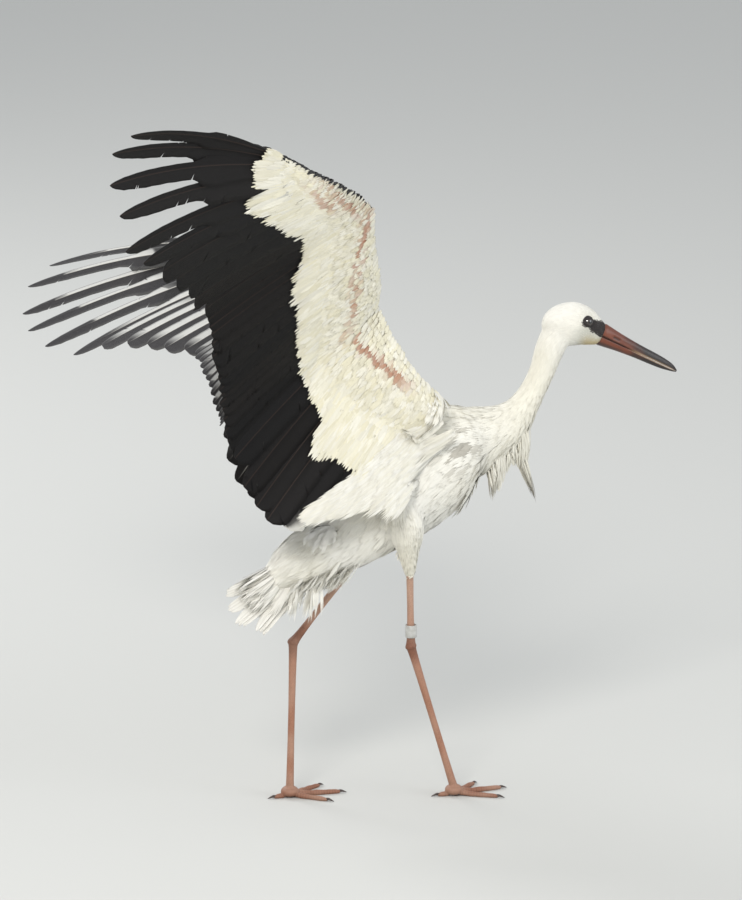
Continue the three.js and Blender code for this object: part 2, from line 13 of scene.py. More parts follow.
import bpy
import numpy as np
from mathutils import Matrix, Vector
from mathutils.bvhtree import BVHTree
from mathutils.kdtree import KDTree


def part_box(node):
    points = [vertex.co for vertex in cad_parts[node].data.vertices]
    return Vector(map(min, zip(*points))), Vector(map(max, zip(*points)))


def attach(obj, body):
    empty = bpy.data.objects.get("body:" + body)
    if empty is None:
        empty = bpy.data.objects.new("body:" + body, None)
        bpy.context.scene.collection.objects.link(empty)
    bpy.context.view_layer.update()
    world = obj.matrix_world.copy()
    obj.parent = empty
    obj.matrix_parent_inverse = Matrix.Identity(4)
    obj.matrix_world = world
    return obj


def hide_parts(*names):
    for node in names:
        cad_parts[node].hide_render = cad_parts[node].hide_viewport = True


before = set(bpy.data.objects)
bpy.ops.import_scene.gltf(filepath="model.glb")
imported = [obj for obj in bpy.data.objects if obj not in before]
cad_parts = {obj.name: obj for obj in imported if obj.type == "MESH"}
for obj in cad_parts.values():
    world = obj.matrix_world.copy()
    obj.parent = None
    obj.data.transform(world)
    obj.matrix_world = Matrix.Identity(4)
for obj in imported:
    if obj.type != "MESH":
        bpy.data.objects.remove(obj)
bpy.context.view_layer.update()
random = np.random.default_rng(11)

# ---------------------------------------------------------------------------
# Driving dimensions, the same as in the CAD model
# ---------------------------------------------------------------------------

EYE_CENTRE = np.array([321.0, 19.2, 707.0])
EYE_RADIUS = 8.5
BILL_BASE = np.array([352.0, 0.0, 681.0])
BILL_LENGTH, BILL_SLOPE, BILL_HALF_HEIGHT, BILL_HALF_WIDTH = 138.0, -27.8, 17.0, 12.5
GAPE_BELOW_AXIS = 2.0

# x, y, z of the middle, half-height, and half-width as a share of it.
TRUNK_LINE = [
    [186, 0, 524, 10, 1.0], [166, 0, 526, 38, 0.98], [130, 0, 528, 69, 0.92], [95, 0, 515, 82, 0.9],
    [45, 0, 480, 84, 0.86], [-10, 0, 440, 74, 0.86], [-55, 0, 404, 57, 0.9], [-84, 0, 384, 43, 0.98],
]
NECK_LINE = [
    [112, 0, 524, 56, 0.9], [150, 0, 536, 57, 0.86], [185, 0, 547, 47, 0.84], [208, 0, 561, 38, 0.84],
    [224, 0, 578, 29, 0.88], [241, 0, 603, 23.5, 0.9], [256, 0, 632, 22.5, 0.9], [268, 0, 664, 25, 0.9],
    [282, 0, 692, 26, 0.9],
]
HEAD_LINE = [
    [256, 0, 699, 4, 1.0], [260, 0, 700, 13, 0.9], [271, 0, 702, 24.5, 0.84], [287, 0, 703, 31.5, 0.82],
    [304, 0, 701, 34.5, 0.8], [320, 0, 696.5, 31.5, 0.79], [336, 0, 688.5, 24.5, 0.77],
    [350, 0, 681.5, 17.8, 0.75],
]
COVERT_LINE = [
    [-66, 0, 402, 49, 0.96], [-94, 0, 389, 52, 0.92], [-121, 0, 377, 50, 0.9], [-148, 0, 362, 41, 0.95],
    [-168, 0, 348, 28, 1.0], [-184, 0, 336, 13, 1.3],
]
TAIL_ROOT = np.array([-90.0, 0.0, 392.0])
TAIL_WAY = np.array([-0.83, 0.0, -0.56])
TAIL_LENGTH, TAIL_PITCH, TAIL_ROLL = 174.0, -34.0, 38.0
TAIL_HALF_FAN, TAIL_FEATHERS, TAIL_DROOP = 20.0, 12, 10.0

# Joints of each leg. heading is the way the foot points, in degrees to the left of straight ahead.
LEGS = {
    "right": dict(side=-1, hip=(8, -42, 468), knee=(22, -52, 428), bare=(33, -38, 350),
                  ankle=(35, -38, 238), foot=(104, -38, 12), heading=4),
    "left": dict(side=1, hip=(-6, 42, 450), knee=(-16, 50, 398), bare=(-50, 38, 326),
                 ankle=(-124, 38, 240), foot=(-130, 38, 12), heading=-6),
}
TOES = [  # name, length, turn from the foot's heading, radius, phalanges
    ("middle", 76, 0, 4.4, 3), ("inner", 60, 36, 4.1, 2), ("outer", 66, -36, 4.1, 4),
    ("hind", 24, 172, 3.8, 1),
]
# The skin between the front toes: from where to where it reaches, its height, half-thickness and sag.
WEB_REACH, WEB_RISE, WEB_HALF, WEB_SLACK = (6, 25), 5.2, 0.9, 0.12
CLAW_LENGTH = 11.0
PALM, PALM_HEIGHT = (13.5, 13.5, 8.4), 9.0     # radii of the ball of the foot, and height of its middle
RING_INNER, RING_OUTER, RING_HEIGHT, RING_ABOVE_ANKLE = 7.4, 8.6, 19.0, 15.0

# Along a wing, place 0 is the shoulder, 1 the elbow, 2 the wrist and 3 the tip of the hand. The tables of a
# wing start their rows with the place. A fan's row goes on with how far its feather line turns out and rises.
WINGS = {
    "right": dict(
        side=-1, joints=[(67, -60, 605), (-81, -84, 737), (-86, -185, 935), (-235, -261, 1035)],
        fan=[
            [0.00, 22, -52], [0.45, 16, -45], [0.75, 12, -44], [1.00, 14, -35], [1.25, 12, -31],
            [1.50, 9, -32], [1.75, 8, -27], [2.00, 6, -26.5], [2.21, 17, -18.5], [2.43, 24, -12],
            [2.54, 27, -9], [2.64, 29, -6], [2.74, 32.5, 1], [2.83, 33, 6], [2.92, 33.5, 11],
            [3.00, 38, 15.5],
        ]),
    "left": dict(
        side=1, joints=[(67, 60, 605), (-53, 126, 751), (64, 314, 736), (-52, 469, 754)],
        fan=[
            [0.00, 0, -55], [0.45, -4, -54], [0.75, -7, -51], [1.00, -8, -49], [1.25, -15, -42],
            [1.50, -17, -31], [1.75, -13, -24], [2.00, -7, -21], [2.21, 1, -21], [2.43, 11, -22],
            [2.54, 16, -24], [2.64, 24, -22.5], [2.74, 33, -20.5], [2.83, 41, -18.5], [2.92, 47, -14.5],
            [3.00, 58, -11],
        ]),
}
# How far the flight feathers reach behind the bone.
FEATHER_LENGTH = [
    [0.00, 150], [0.25, 225], [0.45, 284], [0.75, 285], [0.90, 264], [1.00, 252], [1.25, 260], [1.50, 268],
    [1.94, 279], [2.10, 288], [2.32, 310], [2.43, 332], [2.54, 367], [2.64, 396], [2.74, 415],
    [2.83, 425], [2.92, 412], [3.00, 385],
]
FINGERS = [(2.98, 9.5), (2.92, 11), (2.83, 12.5), (2.74, 13), (2.64, 14), (2.54, 15)]  # place, half-width
FINGERS_FROM = 2.485
EMARGINATION = 0.47                # share of the outermost finger's length where its vane grows narrow
# The flesh of the arm: how far it reaches before the bone and behind it, and its greatest half-thickness.
LEAD = [
    [0, 20], [0.25, 22], [0.5, 31], [0.75, 46], [1, 62], [1.25, 56], [1.5, 38], [1.75, 22],
    [2, 13], [2.25, 19], [2.6, 16], [3, 10],
]
ARM_BACK = [[0, 60], [0.5, 80], [1, 64], [1.5, 62], [2, 60], [2.5, 52], [3, 40]]
ARM_HALF = [[0, 30], [0.3, 22], [0.7, 15], [1, 13], [1.5, 10.5], [2, 9.5], [2.5, 7], [3, 4.5]]
# Share of the way from the arm's front edge to its back, and how thick it is there: 1 is its greatest
# half-thickness, and 0 is as thin as the row of feathers.
ARM_SECTION = [[0, 0.28], [0.1, 0.62], [0.35, 1], [0.6, 0.8], [1, 0]]
# How far feather lines bow, out of the wing's surface and within it, and where its facing is measured.
BOW_UP, BOW_FORWARD, MID_CHORD = 7.0, 15.0, 110.0
PANEL_HALF, PANEL_EDGE_HALF = 2.4, 1.3     # half-thickness of the row of feathers, by the arm and farther out
TERTIALS, SECONDARIES, INNER_PRIMARIES = 8, 14, 5

FORWARD, LEFT = np.eye(3)[:2]

# ---------------------------------------------------------------------------
# Small tools
# ---------------------------------------------------------------------------


def shift_of_frame():
    """Where the bird's own origin lies in the frame, in metres, from the box of its right eye."""
    low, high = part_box("eye_right")
    centre = np.array((low + high) / 2)
    return centre - EYE_CENTRE * (1, -1, 1) / 1000


SHIFT = shift_of_frame()


def place(points):
    """Points of the bird's frame, in millimetres, in the frame's metres."""
    return np.asarray(points, float) / 1000 + SHIFT


def unit(v):
    return v / np.maximum(np.linalg.norm(v, axis=-1, keepdims=True), 1e-9)


def square_to(v, axis):
    """The part of v that is square to a unit axis, as a unit vector."""
    return unit(v - axis * (v * axis).sum(-1, keepdims=True))


def mix(a, b, share):
    return a + (b - a) * share


def smooth(low, high, x):
    t = np.clip((np.asarray(x, float) - low) / (high - low), 0, 1)
    return t * t * (3 - 2 * t)


def along(table, t):
    """Smooth values at t of a table of [place, value, value...] rows: one value, or a row of them."""
    table = np.asarray(table, float)
    x, y = table[:, 0], table[:, 1:]
    t = np.asarray(t, float)
    i = np.clip(np.searchsorted(x, t, side="right") - 1, 0, len(x) - 2)
    before, after, beyond = np.maximum(i - 1, 0), i + 1, np.minimum(i + 2, len(x) - 1)
    span = (x[after] - x[i])[..., None]
    f = np.clip((t - x[i])[..., None] / span, 0, 1)
    slope_a = (y[after] - y[before]) / (x[after] - x[before])[..., None] * span
    slope_b = (y[beyond] - y[i]) / (x[beyond] - x[i])[..., None] * span
    f2, f3 = f * f, f ** 3
    value = (2 * f3 - 3 * f2 + 1) * y[i] + (f3 - 2 * f2 + f) * slope_a
    value = value + (3 * f2 - 2 * f3) * y[after] + (f3 - f2) * slope_b
    return value[..., 0] if y.shape[1] == 1 else value


def painted(tint, colour_over, share):
    """A tint with a colour laid over it, as thickly as share says at each point."""
    return mix(tint, colour_over, np.asarray(share)[..., None])


def colour(r, g, b):
    """Linear colour of display values from 0 to 255."""
    c = np.array([r, g, b]) / 255
    return np.where(c <= 0.04045, c / 12.92, ((c + 0.055) / 1.055) ** 2.4)


def rotation_z(degrees):
    c, s = math.cos(math.radians(degrees)), math.sin(math.radians(degrees))
    return np.array([[c, -s, 0], [s, c, 0], [0, 0, 1]])


def new_object(name, data):
    """An object of the scene that shows some mesh, light or camera data."""
    obj = bpy.data.objects.new(name, data)
    bpy.context.scene.collection.objects.link(obj)
    return obj


def write(data, key, values, kind=np.float32):
    """Set one property of all items of a Blender collection."""
    data.foreach_set(key, np.asarray(values, kind).reshape(-1))


def read(data, key, width, kind=np.float32):
    """One property of all items of a Blender collection, a row for each item."""
    values = np.empty(len(data) * width, kind)
    data.foreach_get(key, values)
    return values.reshape(-1, width)


WAVES = 7


def wave_noise(points, size, seed):
    """Smooth noise from 0 to 1 at points, with lumps of about that size: a sum of tilted waves."""
    dice = np.random.default_rng(seed)
    total = np.zeros(np.asarray(points).shape[:-1])
    for _ in range(WAVES):
        way = unit(dice.normal(size=3)) * dice.uniform(0.7, 1.5) * 2 * math.pi / (2.2 * size)
        total = total + np.sin(points @ way + dice.uniform(0, 6.28))
    return 0.5 + 0.5 * np.tanh(total / 2.2)


# ---------------------------------------------------------------------------
# Colours
# ---------------------------------------------------------------------------

WHITE = colour(241, 239, 231)
CREAM = colour(230, 224, 198)
SHADE = colour(205, 207, 204)
BLACK = colour(12, 11, 12)
BROWN_BLACK = colour(20, 17, 16)
SILVER = colour(212, 212, 208)
GREY = colour(60, 58, 60)
RUST = colour(160, 82, 38)
SOIL = colour(126, 118, 100)
SHAFT_WHITE = colour(236, 233, 224)
SHAFT_DARK = colour(58, 46, 40)
BARE_FACE = colour(34, 28, 27)
CHIN_SKIN_AND_REFLECTION = colour(196, 172, 104)
CHEEK_SHADE = colour(176, 178, 166)
LEG = colour(166, 118, 94)
LEG_DARK = colour(116, 70, 50)
SKIN_PINK = colour(198, 170, 150)
BILL_RED = colour(112, 57, 34)
BILL_DARK = colour(34, 27, 25)
BILL_EDGE_HIGHLIGHT = colour(196, 166, 134)
CLAW = colour(58, 44, 38)
PUPIL = colour(8, 7, 7)
IRIS = colour(46, 33, 26)
EYE_WHITE = colour(90, 78, 70)
DARKEST, PALEST = 0.002, 0.95      # limits of any channel of a tint

# ---------------------------------------------------------------------------
# Materials
# ---------------------------------------------------------------------------


class Shader:
    """A material with one Principled shader, and short ways to add nodes to it."""

    def __init__(self, name, **sockets):
        self.material = bpy.data.materials.new(name)
        self.material.use_nodes = True
        self.tree = self.material.node_tree
        self.surface = self.tree.nodes["Principled BSDF"]
        for socket, value in sockets.items():
            self.surface.inputs[socket.replace("_", " ")].default_value = value

    def add(self, kind, inputs=(), **settings):
        node = self.tree.nodes.new(kind)
        for key, value in settings.items():
            setattr(node, key, value)
        for socket, value in dict(inputs).items():
            if isinstance(value, bpy.types.NodeSocket):
                self.tree.links.new(value, node.inputs[socket])
            else:
                node.inputs[socket].default_value = value
        return node

    def maths(self, operation, *values):
        return self.add("ShaderNodeMath", enumerate(values), operation=operation).outputs[0]

    def mix(self, share, a, b, blend="MIX"):
        inputs = {0: share, 6: a, 7: b}
        return self.add("ShaderNodeMix", inputs, data_type="RGBA", blend_type=blend).outputs[2]

    def place(self):
        return self.add("ShaderNodeTexCoord").outputs["Object"]

    def noise(self, scale, detail=3.0):
        inputs = {"Vector": self.place(), "Scale": scale, "Detail": detail}
        return self.add("ShaderNodeTexNoise", inputs).outputs["Fac"]

    def attribute(self, name, output):
        return self.add("ShaderNodeAttribute", attribute_name=name).outputs[output]

    def stain(self, pattern, share, stained, clean=(1, 1, 1)):
        """A layer of colour from clean to stained, by up to that share where the pattern is 1."""
        return self.mix(self.maths("MULTIPLY", pattern, share), (*clean, 1), (*stained, 1))

    def paint(self, *layers):
        """Colour the surface by the mesh's own tint, times each layer."""
        base = self.attribute("tint", "Color")
        for layer in layers:
            base = self.mix(1.0, base, layer, "MULTIPLY")
        self.tree.links.new(base, self.surface.inputs["Base Color"])

    def bump(self, height, distance, strength=1.0):
        node = self.add("ShaderNodeBump", {"Height": height, "Distance": distance, "Strength": strength})
        self.tree.links.new(node.outputs[0], self.surface.inputs["Normal"])


def plumage_material(name, roughness, sheen, barb_pitch, barb_depth):
    """Vane of a feather: painted by 'tint', with barbs running forward and out from the shaft."""
    sockets = {"Specular IOR Level": 0.2, "Sheen Weight": sheen, "Sheen Roughness": 0.5}
    shader = Shader(name, Roughness=roughness, **sockets)
    vane = shader.add("ShaderNodeSeparateXYZ", {0: shader.attribute("vane", "Vector")})
    out = shader.maths("MULTIPLY", shader.maths("ABSOLUTE", vane.outputs[0]), 0.9)
    barb = shader.maths("MULTIPLY", shader.maths("SUBTRACT", vane.outputs[1], out), 2 * math.pi / barb_pitch)
    wobble = shader.maths("MULTIPLY", shader.noise(260.0), 5.0)
    ripple = shader.maths("SINE", shader.maths("ADD", barb, wobble))
    groove = shader.maths("MULTIPLY_ADD", ripple, 0.5, 0.5)
    barbs = shader.stain(groove, barb_depth, (0.45, 0.43, 0.4))
    patches = shader.stain(shader.noise(38.0, 5.0), 0.28, (0.62, 0.59, 0.52))
    shader.paint(barbs, patches)
    shader.bump(groove, 0.0002, 4 * barb_depth)
    return shader.material


def skin_material():
    """Feathered skin: dull, painted by 'tint', with the small bumps that feathers grow from."""
    shader = Shader("skin_under_feathers", Roughness=0.65)
    cells = shader.add("ShaderNodeTexVoronoi", {"Vector": shader.place(), "Scale": 420.0})
    shader.paint(shader.stain(shader.noise(60.0), 0.3, (0.6, 0.55, 0.5)))
    shader.bump(cells.outputs["Distance"], 0.0004, 0.5)
    return shader.material


def leg_material():
    """Horny skin of the legs, with fine wrinkles, and dirt between its scales."""
    shader = Shader("leg_skin", Roughness=0.55, Specular_IOR_Level=0.4)
    shader.paint(shader.stain(shader.noise(150.0, 6.0), 0.5, (0.6, 0.53, 0.48)))
    shader.bump(shader.noise(700.0, 4.0), 0.0003, 0.6)
    return shader.material


def horn_material(name, roughness, streak):
    """Bill or claw horn: painted by 'tint', with streaks along the growth, scratches and a low gloss."""
    shader = Shader(name, Roughness=roughness, Coat_Weight=0.15, Coat_Roughness=0.35)
    growth = shader.add("ShaderNodeMapping", {"Vector": shader.attribute("vane", "Vector"), "Scale": streak})
    inputs = {"Vector": growth.outputs[0], "Scale": 1.0, "Detail": 6.0}
    lines = shader.add("ShaderNodeTexNoise", inputs).outputs["Fac"]
    shader.paint(shader.stain(lines, 0.7, (0.5, 0.47, 0.45), (1.25, 1.2, 1.15)))
    shader.bump(lines, 0.0004, 0.5)
    return shader.material


def eye_material():
    """Wet eyeball: painted by 'tint', flecked and very glossy."""
    shader = Shader("eye", Roughness=0.08, Coat_Weight=1.0, Coat_Roughness=0.02)
    shader.paint(shader.stain(shader.noise(900.0), 0.5, (0.5, 0.4, 0.35)))
    return shader.material


def ring_material():
    """Pale grey plastic, a little worn and dirty."""
    shader = Shader("ring_plastic", Roughness=0.45)
    worn = shader.mix(shader.noise(180.0, 6.0), (*colour(206, 207, 204), 1), (*colour(150, 148, 140), 1))
    shader.tree.links.new(worn, shader.surface.inputs["Base Color"])
    shader.bump(shader.noise(900.0, 3.0), 0.0002, 0.4)
    return shader.material


SOFT_PLUMAGE = plumage_material("soft_plumage", 0.72, 0.25, 0.6, 0.07)
FLIGHT_PLUMAGE = plumage_material("flight_plumage", 0.6, 0.0, 1.1, 0.16)
SKIN = skin_material()
LEG_SKIN = leg_material()
BILL_HORN = horn_material("bill_horn", 0.42, (0.9, 0.035, 1.0))
CLAW_HORN = horn_material("claw_horn", 0.45, (0.9, 0.12, 1.0))
EYE = eye_material()
RING = ring_material()

# ---------------------------------------------------------------------------
# Meshes
# ---------------------------------------------------------------------------


TIP_CREASE = 9                     # crease number of a blade's tip


def join_faces(*groups):
    """Corner indices and polygon sizes of groups of faces, each an array of one row per face."""
    groups = [np.asarray(g, np.int64) for g in groups if len(g)]
    corners = np.concatenate([g.reshape(-1) for g in groups])
    sizes = np.concatenate([np.full(len(g), g.shape[1]) for g in groups])
    return corners, sizes


def piece(name, points, faces, materials, replaced=(), *, uv, tint=None, vane=None, face_material=None,
          crease=None):
    """A mesh object made of points (millimetres) and faces (corners, sizes). It rides on the root body.

    tint is a colour and vane a vector for each point. uv is the OFBake place of each point or corner. An
    edge is shaded sharp when the crease numbers of its ends are above 0 and equal, or one is TIP_CREASE."""
    corners, sizes = faces
    points = np.reshape(points, (-1, 3))
    mesh = bpy.data.meshes.new(name)
    mesh.vertices.add(len(points))
    write(mesh.vertices, "co", place(points))
    mesh.loops.add(len(corners))
    write(mesh.loops, "vertex_index", corners, np.int32)
    mesh.polygons.add(len(sizes))
    write(mesh.polygons, "loop_start", np.cumsum(sizes) - sizes, np.int32)
    write(mesh.polygons, "use_smooth", np.ones(len(sizes)), bool)
    for material in materials:
        mesh.materials.append(material)
    if face_material is not None:
        write(mesh.polygons, "material_index", face_material, np.int32)
    if tint is not None:
        tint = np.clip(np.reshape(tint, (-1, 3)), DARKEST, PALEST)
        layer = mesh.color_attributes.new("tint", "FLOAT_COLOR", "POINT")
        write(layer.data, "color", np.column_stack([tint, np.ones(len(tint))]))
    if vane is not None:
        write(mesh.attributes.new("vane", "FLOAT_VECTOR", "POINT").data, "vector", vane)
    uv = np.reshape(uv, (-1, 2))
    write(mesh.uv_layers.new(name="OFBake").uv, "vector", uv[corners] if len(uv) == len(points) else uv)
    mesh.update(calc_edges=True)
    if crease is not None:
        a, b = crease[read(mesh.edges, "vertices", 2, np.int32).T]
        sharp = (a > 0) & (b > 0) & ((a == b) | (a == TIP_CREASE) | (b == TIP_CREASE))
        write(mesh.attributes.new("sharp_edge", "BOOLEAN", "EDGE").data, "value", sharp, bool)
    obj = new_object(name, mesh)
    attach(obj, "root")
    if replaced:
        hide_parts(*replaced)
    return obj


def tube_faces(rings, sides, closed=False):
    """Quads round a tube of rings. A closed tube comes back to its first ring."""
    r, s = np.meshgrid(np.arange(rings if closed else rings - 1), np.arange(sides), indexing="ij")
    here, there, turned = r * sides, (r + 1) % rings * sides, (s + 1) % sides
    return np.stack([here + s, here + turned, there + turned, there + s], -1).reshape(-1, 4)


def end_faces(rings, sides):
    """The two polygons that close the ends of a tube."""
    return np.array([np.arange(sides)[::-1], (rings - 1) * sides + np.arange(sides)])


def limb_grid(stations, sides, steps, shrink=(0,)):
    """Rings of a round limb along a smooth line: points, the line's direction, and each ring's station."""
    table = np.array(stations, float)
    last = len(table) - 1
    keyed = np.column_stack([np.arange(last + 1), table])
    t = np.linspace(0, last, last * steps + 1)
    row = along(keyed, t)
    ahead, behind = along(keyed, np.minimum(t + 0.05, last)), along(keyed, np.maximum(t - 0.05, 0))
    tangent = unit(ahead[:, :3] - behind[:, :3])
    across = square_to(np.where(np.abs(tangent[:, 1:2]) > 0.9, FORWARD, LEFT), tangent)
    over = np.cross(tangent, across)
    angle = 2 * math.pi * (np.arange(sides) + 0.5) / sides
    inset = np.interp(t, np.linspace(0, last, len(shrink)), shrink)
    radius = np.maximum(row[:, 3] - inset, 1.0)[:, None, None]
    width = np.maximum(row[:, 3] * row[:, 4] - inset, 1.0)[:, None, None]
    points = row[:, None, :3] + across[:, None] * width * np.cos(angle)[None, :, None]
    points = points + over[:, None] * radius * np.sin(angle)[None, :, None]
    return points, tangent, t


def ball_grid(centre, radii, rows=16, sides=24):
    """Rings round a ball, from its top down."""
    polar = np.linspace(0.06, math.pi - 0.06, rows)[:, None]
    turn = 2 * math.pi * np.arange(sides)[None] / sides
    x, y = np.sin(polar) * np.cos(turn), np.sin(polar) * np.sin(turn)
    return centre + np.stack([x, y, np.cos(polar) + 0 * turn], -1) * radii


# ---------------------------------------------------------------------------
# The wing's plan
# ---------------------------------------------------------------------------


def arm_share(where, distance):
    """Share of the way over a wing's fleshy arm, from its front edge to its back, where it is 1."""
    lead = along(LEAD, where)
    return (distance + lead) / (lead + along(ARM_BACK, where))


class WingPlan:
    """Bone line, feather lines and upper face of one wing. All of its calls take arrays of places."""

    def __init__(self, name):
        self.name = name
        self.side = WINGS[name]["side"]
        self.fan = WINGS[name]["fan"]
        self.joints = np.array(WINGS[name]["joints"], float)

    def bone(self, where):
        i = np.clip(np.floor(where).astype(int), 0, 2)
        return mix(self.joints[i], self.joints[i + 1], (where - i)[..., None])

    def direction(self, where):
        out, rise = np.radians(np.moveaxis(along(self.fan, where), -1, 0))
        level = np.cos(rise)
        return np.stack([-level * np.cos(out), self.side * level * np.sin(out), np.sin(rise)], -1)

    def face(self, where):
        low, high = np.maximum(where - 0.35, 0), np.minimum(where + 0.35, 3)
        low, high = (self.bone(w) + self.direction(w) * MID_CHORD for w in (low, high))
        return unit(np.cross(unit(high - low), self.direction(where)) * self.side)

    def length(self, where):
        return along(FEATHER_LENGTH, where)

    def point(self, where, distance, lift=0.0):
        """Point behind the bone along the feather line, raised off the wing's middle surface by lift."""
        where, distance, lift = np.broadcast_arrays(*(np.asarray(v, float) for v in (where, distance, lift)))
        share = np.maximum(distance, 0) / self.length(where)
        arch = 4 * share * (1 - share)
        line, face = self.direction(where), self.face(where)
        forward = np.cross(face, line) * self.side
        bow = arch * BOW_FORWARD * smooth(2, 3, where)
        return (self.bone(where) + line * distance[..., None] + face * (lift + arch * BOW_UP)[..., None]
                - forward * bow[..., None])

    def thickness(self, where, distance):
        """Half-thickness of the wing solid at a place: the fleshy arm, then the thin row of feathers."""
        share = arm_share(where, distance)
        arm = mix(PANEL_HALF, along(ARM_HALF, where), along(ARM_SECTION, np.clip(share, 0, 1)))
        return np.where(share < 1, arm, mix(PANEL_HALF, PANEL_EDGE_HALF, np.clip((share - 1) * 1.5, 0, 1)))


PLANS = {name: WingPlan(name) for name in WINGS}

# ---------------------------------------------------------------------------
# Skin
# ---------------------------------------------------------------------------

BODY_VOXEL, LEG_VOXEL = 2.6, 1.2
# For each stretch of the body: depth of the coat along it, from its first station to its last.
COAT_DEPTH = {
    "trunk": [7, 7], "neck": [7, 7, 5.5, 3.6, 2.8], "head": [2.6, 2.2, 1.4, 0.8], "coverts": [10, 12],
    "thigh": [5, 3.4],
}


class Shell:
    """Closed tubes that overlap, each face marked with its limb and its place on it."""

    def __init__(self):
        self.points, self.quads, self.ends, self.marks, self.count = [], [], [], [], 0

    def add(self, limb, grid, flow, station):
        """A tube of rings. flow is the way the coat lies on it, and station how far along it each ring is."""
        rings, sides = grid.shape[:2]
        quads = tube_faces(rings, sides)
        self.points.append(grid.reshape(-1, 3))
        self.quads.append(quads + self.count)
        self.ends.append(end_faces(rings, sides) + self.count)
        between = (station[1:] + station[:-1]) / 2
        turn = (np.arange(sides) + 1) / sides
        flow = np.broadcast_to(flow, (rings, 3))
        self.marks.append(np.column_stack([
            np.full(len(quads), LIMBS.index(limb)), np.repeat(between, sides), np.tile(turn, rings - 1),
            np.repeat(unit(flow[1:] + flow[:-1]), sides, 0)]))
        self.count += rings * sides

    def add_limb(self, limb, line, sides, steps, shrink=(0,), sign=1):
        grid, tangent, station = limb_grid(line, sides, steps, shrink)
        self.add(limb, grid, tangent * sign, station)

    def marks_at(self, points):
        """Limb, station, turn and flow of the tube wall nearest to each point."""
        walls = np.concatenate(self.points).tolist(), np.concatenate(self.quads).tolist()
        tree = BVHTree.FromPolygons(*walls)
        return np.concatenate(self.marks)[[tree.find_nearest(p)[2] for p in points.tolist()]]

    def union(self, voxel, rounds):
        """One closed surface round all the tubes, smoothed: points and quads."""
        mesh = bpy.data.meshes.new("union")
        faces = np.concatenate(self.quads).tolist()
        for ends in self.ends:
            faces += ends.tolist()
        mesh.from_pydata((np.concatenate(self.points) / 1000).tolist(), [], faces)
        obj = new_object("union", mesh)
        remesh = obj.modifiers.new("voxels", "REMESH")
        remesh.mode = "VOXEL"
        remesh.voxel_size = voxel / 1000
        relax = obj.modifiers.new("relax", "SMOOTH")
        relax.factor = 0.5
        relax.iterations = rounds
        made = obj.evaluated_get(bpy.context.evaluated_depsgraph_get()).to_mesh()
        assert (read(made.polygons, "loop_total", 1, np.int32) == 4).all()
        points = read(made.vertices, "co", 3).astype(float) * 1000
        quads = read(made.loops, "vertex_index", 1, np.int32).reshape(-1, 4)
        obj.to_mesh_clear()
        bpy.data.objects.remove(obj)
        bpy.data.meshes.remove(mesh)
        return points, quads


LIMBS = ["trunk", "neck", "head", "coverts", "thigh_right", "thigh_left", "arm_right", "arm_left",
         "leg_right", "leg_left"]


def arm_grid(plan, places, sides=14):
    """Rings round the flesh of a wing, front edge to back and round again, inside its coverts."""
    shares = (1 - np.cos(np.linspace(0.0, math.pi, sides))) / 2 * 0.84 + 0.03
    lead, back = along(LEAD, places)[:, None], along(ARM_BACK, places)[:, None]
    distance = -lead + shares[None] * (lead + back)
    where = places[:, None] + 0 * distance
    half = np.maximum(plan.thickness(where, distance) - mix(3.2, 1.2, places[:, None] / 3), 1.9)
    half = half * np.sqrt(np.clip(np.sin(np.pi * np.linspace(0.04, 0.96, sides))[None], 0, 1) ** 0.5)
    top, bottom = plan.point(where, distance, half), plan.point(where, distance, -half)
    return np.concatenate([top, bottom[:, ::-1]], 1)


def body_shell():
    """Trunk, neck, head, tail coverts, thighs and the flesh of both wings."""
    shell = Shell()
    # The coat lies from the head towards the tail, against the way the lines of neck and head run.
    for limb, line, sign in (("trunk", TRUNK_LINE, 1), ("neck", NECK_LINE, -1), ("head", HEAD_LINE, -1),
                             ("coverts", COVERT_LINE[:-1], 1)):
        shell.add_limb(limb, line, sides=40, steps=6, shrink=COAT_DEPTH[limb], sign=sign)
    for name, leg in LEGS.items():
        knee, bare = np.array(leg["knee"], float), np.array(leg["bare"], float)
        line = [[*leg["hip"], 38, 0.8], [*knee, 31, 0.8], [*mix(knee, bare, 0.6), 17, 0.9], [*bare, 10, 0.95]]
        shell.add_limb(f"thigh_{name}", line, sides=24, steps=6, shrink=COAT_DEPTH["thigh"])
    places = np.linspace(0.0, 2.97, 70)
    for name, plan in PLANS.items():
        shell.add(f"arm_{name}", arm_grid(plan, places), plan.direction(places), places)
    return shell


def toe_turn(leg, turn):
    """Matrix that turns points that way from straight ahead of the bird, about the middle of its foot."""
    return rotation_z(leg["heading"] - leg["side"] * turn).T


